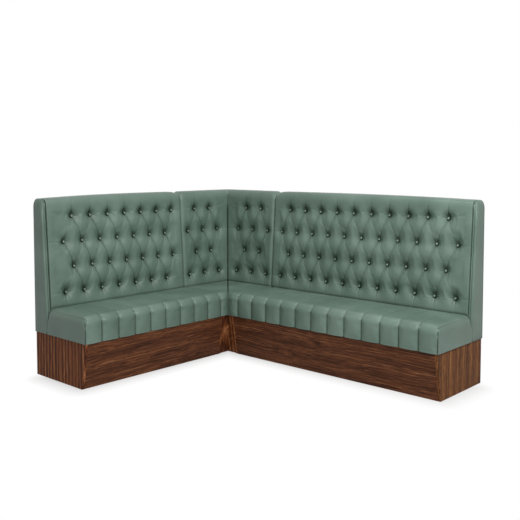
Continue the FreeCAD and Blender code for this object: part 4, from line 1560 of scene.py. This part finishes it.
class EndPattern:
    """One padded end: its box and the board inside it."""

    def __init__(self, part, back):
        self.part = part
        self.short = back.short
        self.back = back
        cover = joined_copy("back_end_cover_" + part, back.short)
        places = [vert.co.copy() for vert in cover.verts]
        cover.free()
        self.low = Vector([min(co[axis] for co in places) for axis in range(3)])
        self.high = Vector([max(co[axis] for co in places) for axis in range(3)])
        self.rise = max((co - back.origin).dot(back.out) for co in places)
        board = joined_copy("back_gable_" + part, back.short)
        corners = [vert.co.copy() for vert in board.verts]
        board.free()
        self.board_side = max(co.x for co in corners)
        self.board_top = max(co.z for co in corners)
        self.board_foot = min(co.y for co in corners)
        self.board_rise = max((co - back.origin).dot(back.out) for co in corners)

    def depth(self, height, rise, foot):
        """Place of the front at a height, for a face that stands off the buttons' plane."""
        face = self.back.origin + self.back.out * rise
        lean = face.y + (height - face.z) / self.back.up.z * self.back.up.y
        return max(foot, lean)

    def box_point(self, share):
        """Point of the end's box at shares of its length, depth and height."""
        size = self.high - self.low
        return self.low + Vector([share[axis] * size[axis] for axis in range(3)])

    def place(self, share):
        """Place of a point of the box on the leaning, rolled end."""
        point = self.box_point(share)
        upper = smooth((point.z - self.high.z + 120 * mm) / (80 * mm))
        front = end_edge_roll + (top_roll - end_edge_roll) * upper
        side = end_edge_roll + (end_top_roll - end_edge_roll) * upper
        placed, outward = rolled(point, self.low, self.high, (strip_roll, front, 0),
                                 (side, 0, top_roll))
        placed -= outward * strip_seam_depth * self.seam(point)
        shift = self.depth(placed.z, self.rise, self.low.y) - self.low.y
        placed.y += shift * min(1, -placed.y / straighten)
        return placed

    def seam(self, point):
        """1 on the seam that runs down the front of the end, and 0 beside it."""
        aside = abs(point.x - self.low.x - strip_seam)
        return math.exp(-(aside / (1.6 * mm)) ** 2) * (point.y < self.low.y + end_edge_roll)

    def board_place(self, share):
        """Place of a point of the coarse box round the board."""
        height = self.low.z + (self.board_top + foam_gap - self.low.z) * share.z
        front = self.depth(height, self.board_rise + foam_gap, self.board_foot - foam_gap)
        side = self.board_side + foam_gap
        return Vector((self.low.x + (side - self.low.x) * share.x, front * (1 - share.y), height))


end_open = [(0, 0), (1, 1), (2, 0)]
ends = [EndPattern("right", patterns[0]), EndPattern("left", patterns[1])]
for end in ends:
    size = end.high - end.low
    along = [step * mm / size.x
             for step in (1.5, 3, 5, 7, 9, 10, 11, 12, 13, 16, 20, 23, 25.5, 28)]
    depth = [step * mm / size.y for step in (1.5, 3, 5.5, 9, 14, 20, 27, 36, 48, 62, 78, 96, 118)]
    heights = [(i / 40) for i in range(1, 36)]
    heights += [1 - step * mm / size.z for step in (90, 72, 58, 46, 36, 28, 21, 15, 10, 6, 3)]
    bm = cut_box((along, depth, heights), end_open)
    layer = bm.verts.layers.float_vector.new("share")
    painted_shade_layer = bm.verts.layers.float.new("depth")
    for vert in bm.verts:
        vert[layer] = vert.co.copy()
        vert.co = end.place(vert[layer])
        # Painted shade in the seam that runs down the end's front.
        vert[painted_shade_layer] = 0.85 * end.seam(end.box_point(vert[layer]))
    line_box(bm, (1, 2, 10), end_open, end.board_place)
    if end.short:
        bmesh.ops.transform(bm, matrix=corner_mirror, verts=bm.verts)
    bmesh.ops.recalc_face_normals(bm, faces=bm.faces)
    open_edges = sum(1 for edge in bm.edges if not edge.is_manifold)
    pad = add_piece("end_pad_" + end.part, bm, leather)
    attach(pad, "root")
    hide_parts("back_end_cover_" + end.part)
    print(pad.name, len(pad.data.polygons), "faces,", open_edges, "open edges", end.rise)

# %% [markdown]
# ## Buttons
# Each button is a tin shell with the same leather pulled over it: a shallow dome with a tight,
# rounded rim that goes straight back into the funnel. Its leather is painted lighter than the
# covers', as the light it catches, and its rim darker, as shade. One is turned from its half
# section, and a copy is set on every button of the construction model, square to the leaning back.

# %% Covered buttons
dome_height = 4.5 * mm
rim_height = 2.0 * mm
shank = 9 * mm
button_lift = 6 * mm
button_steps = 20


def button_section():
    """Half section of a button, from its crown over the rim to the back of its shank."""
    crown = [Vector((button_radius * math.sin(a), 0, rim_height + dome_height * math.cos(a)))
             for a in [math.pi / 2 * i / 6 for i in range(7)]]
    return crown + [Vector((button_radius * 0.93, 0, 0)), Vector((button_radius * 0.7, 0, -shank * 0.4)),
                    Vector((button_radius * 0.5, 0, -shank)), Vector((0, 0, -shank))]


def one_button():
    """A button at the origin that faces up."""
    bm = bmesh.new()
    points = [bm.verts.new(place) for place in button_section()]
    edges = [bm.edges.new(pair) for pair in zip(points, points[1:])]
    bmesh.ops.spin(bm, geom=points + edges, cent=(0, 0, 0), axis=(0, 0, 1), angle=2 * math.pi,
                   steps=button_steps, use_merge=True)
    bmesh.ops.remove_doubles(bm, verts=bm.verts, dist=join_distance)
    bmesh.ops.recalc_face_normals(bm, faces=bm.faces)
    # Painted shade on the button's rim, so that only its crown stays light.
    painted_shade_layer = bm.verts.layers.float.new("depth")
    for vert in bm.verts:
        vert[painted_shade_layer] = smooth((math.hypot(vert.co.x, vert.co.y) / button_radius - 0.42) / 0.35)
    mesh = bpy.data.meshes.new("one button")
    bm.to_mesh(mesh)
    bm.free()
    return mesh


single = one_button()
for group in ("right", "left", "corner"):
    bm = bmesh.new()
    sides = {"right": (False,), "left": (True,), "corner": (False, True)}[group]
    for short in sides:
        for place in button_middles("back_buttons_" + group, short):
            facing = patterns[0].out.to_track_quat("Z", "Y").to_matrix().to_4x4()
            start = len(bm.verts)
            bm.from_mesh(single)
            bm.verts.ensure_lookup_table()
            fresh = bm.verts[start:]
            place_matrix = Matrix.Translation(place + patterns[0].out * button_lift) @ facing
            if short:
                place_matrix = corner_mirror @ place_matrix
            bmesh.ops.transform(bm, matrix=place_matrix, verts=fresh)
    bmesh.ops.recalc_face_normals(bm, faces=bm.faces)
    buttons = add_piece("buttons_" + group, bm, button_leather_painted_lighter)
    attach(buttons, "root")
    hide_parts("back_buttons_" + group)
    print(buttons.name, len(buttons.data.polygons), "faces")
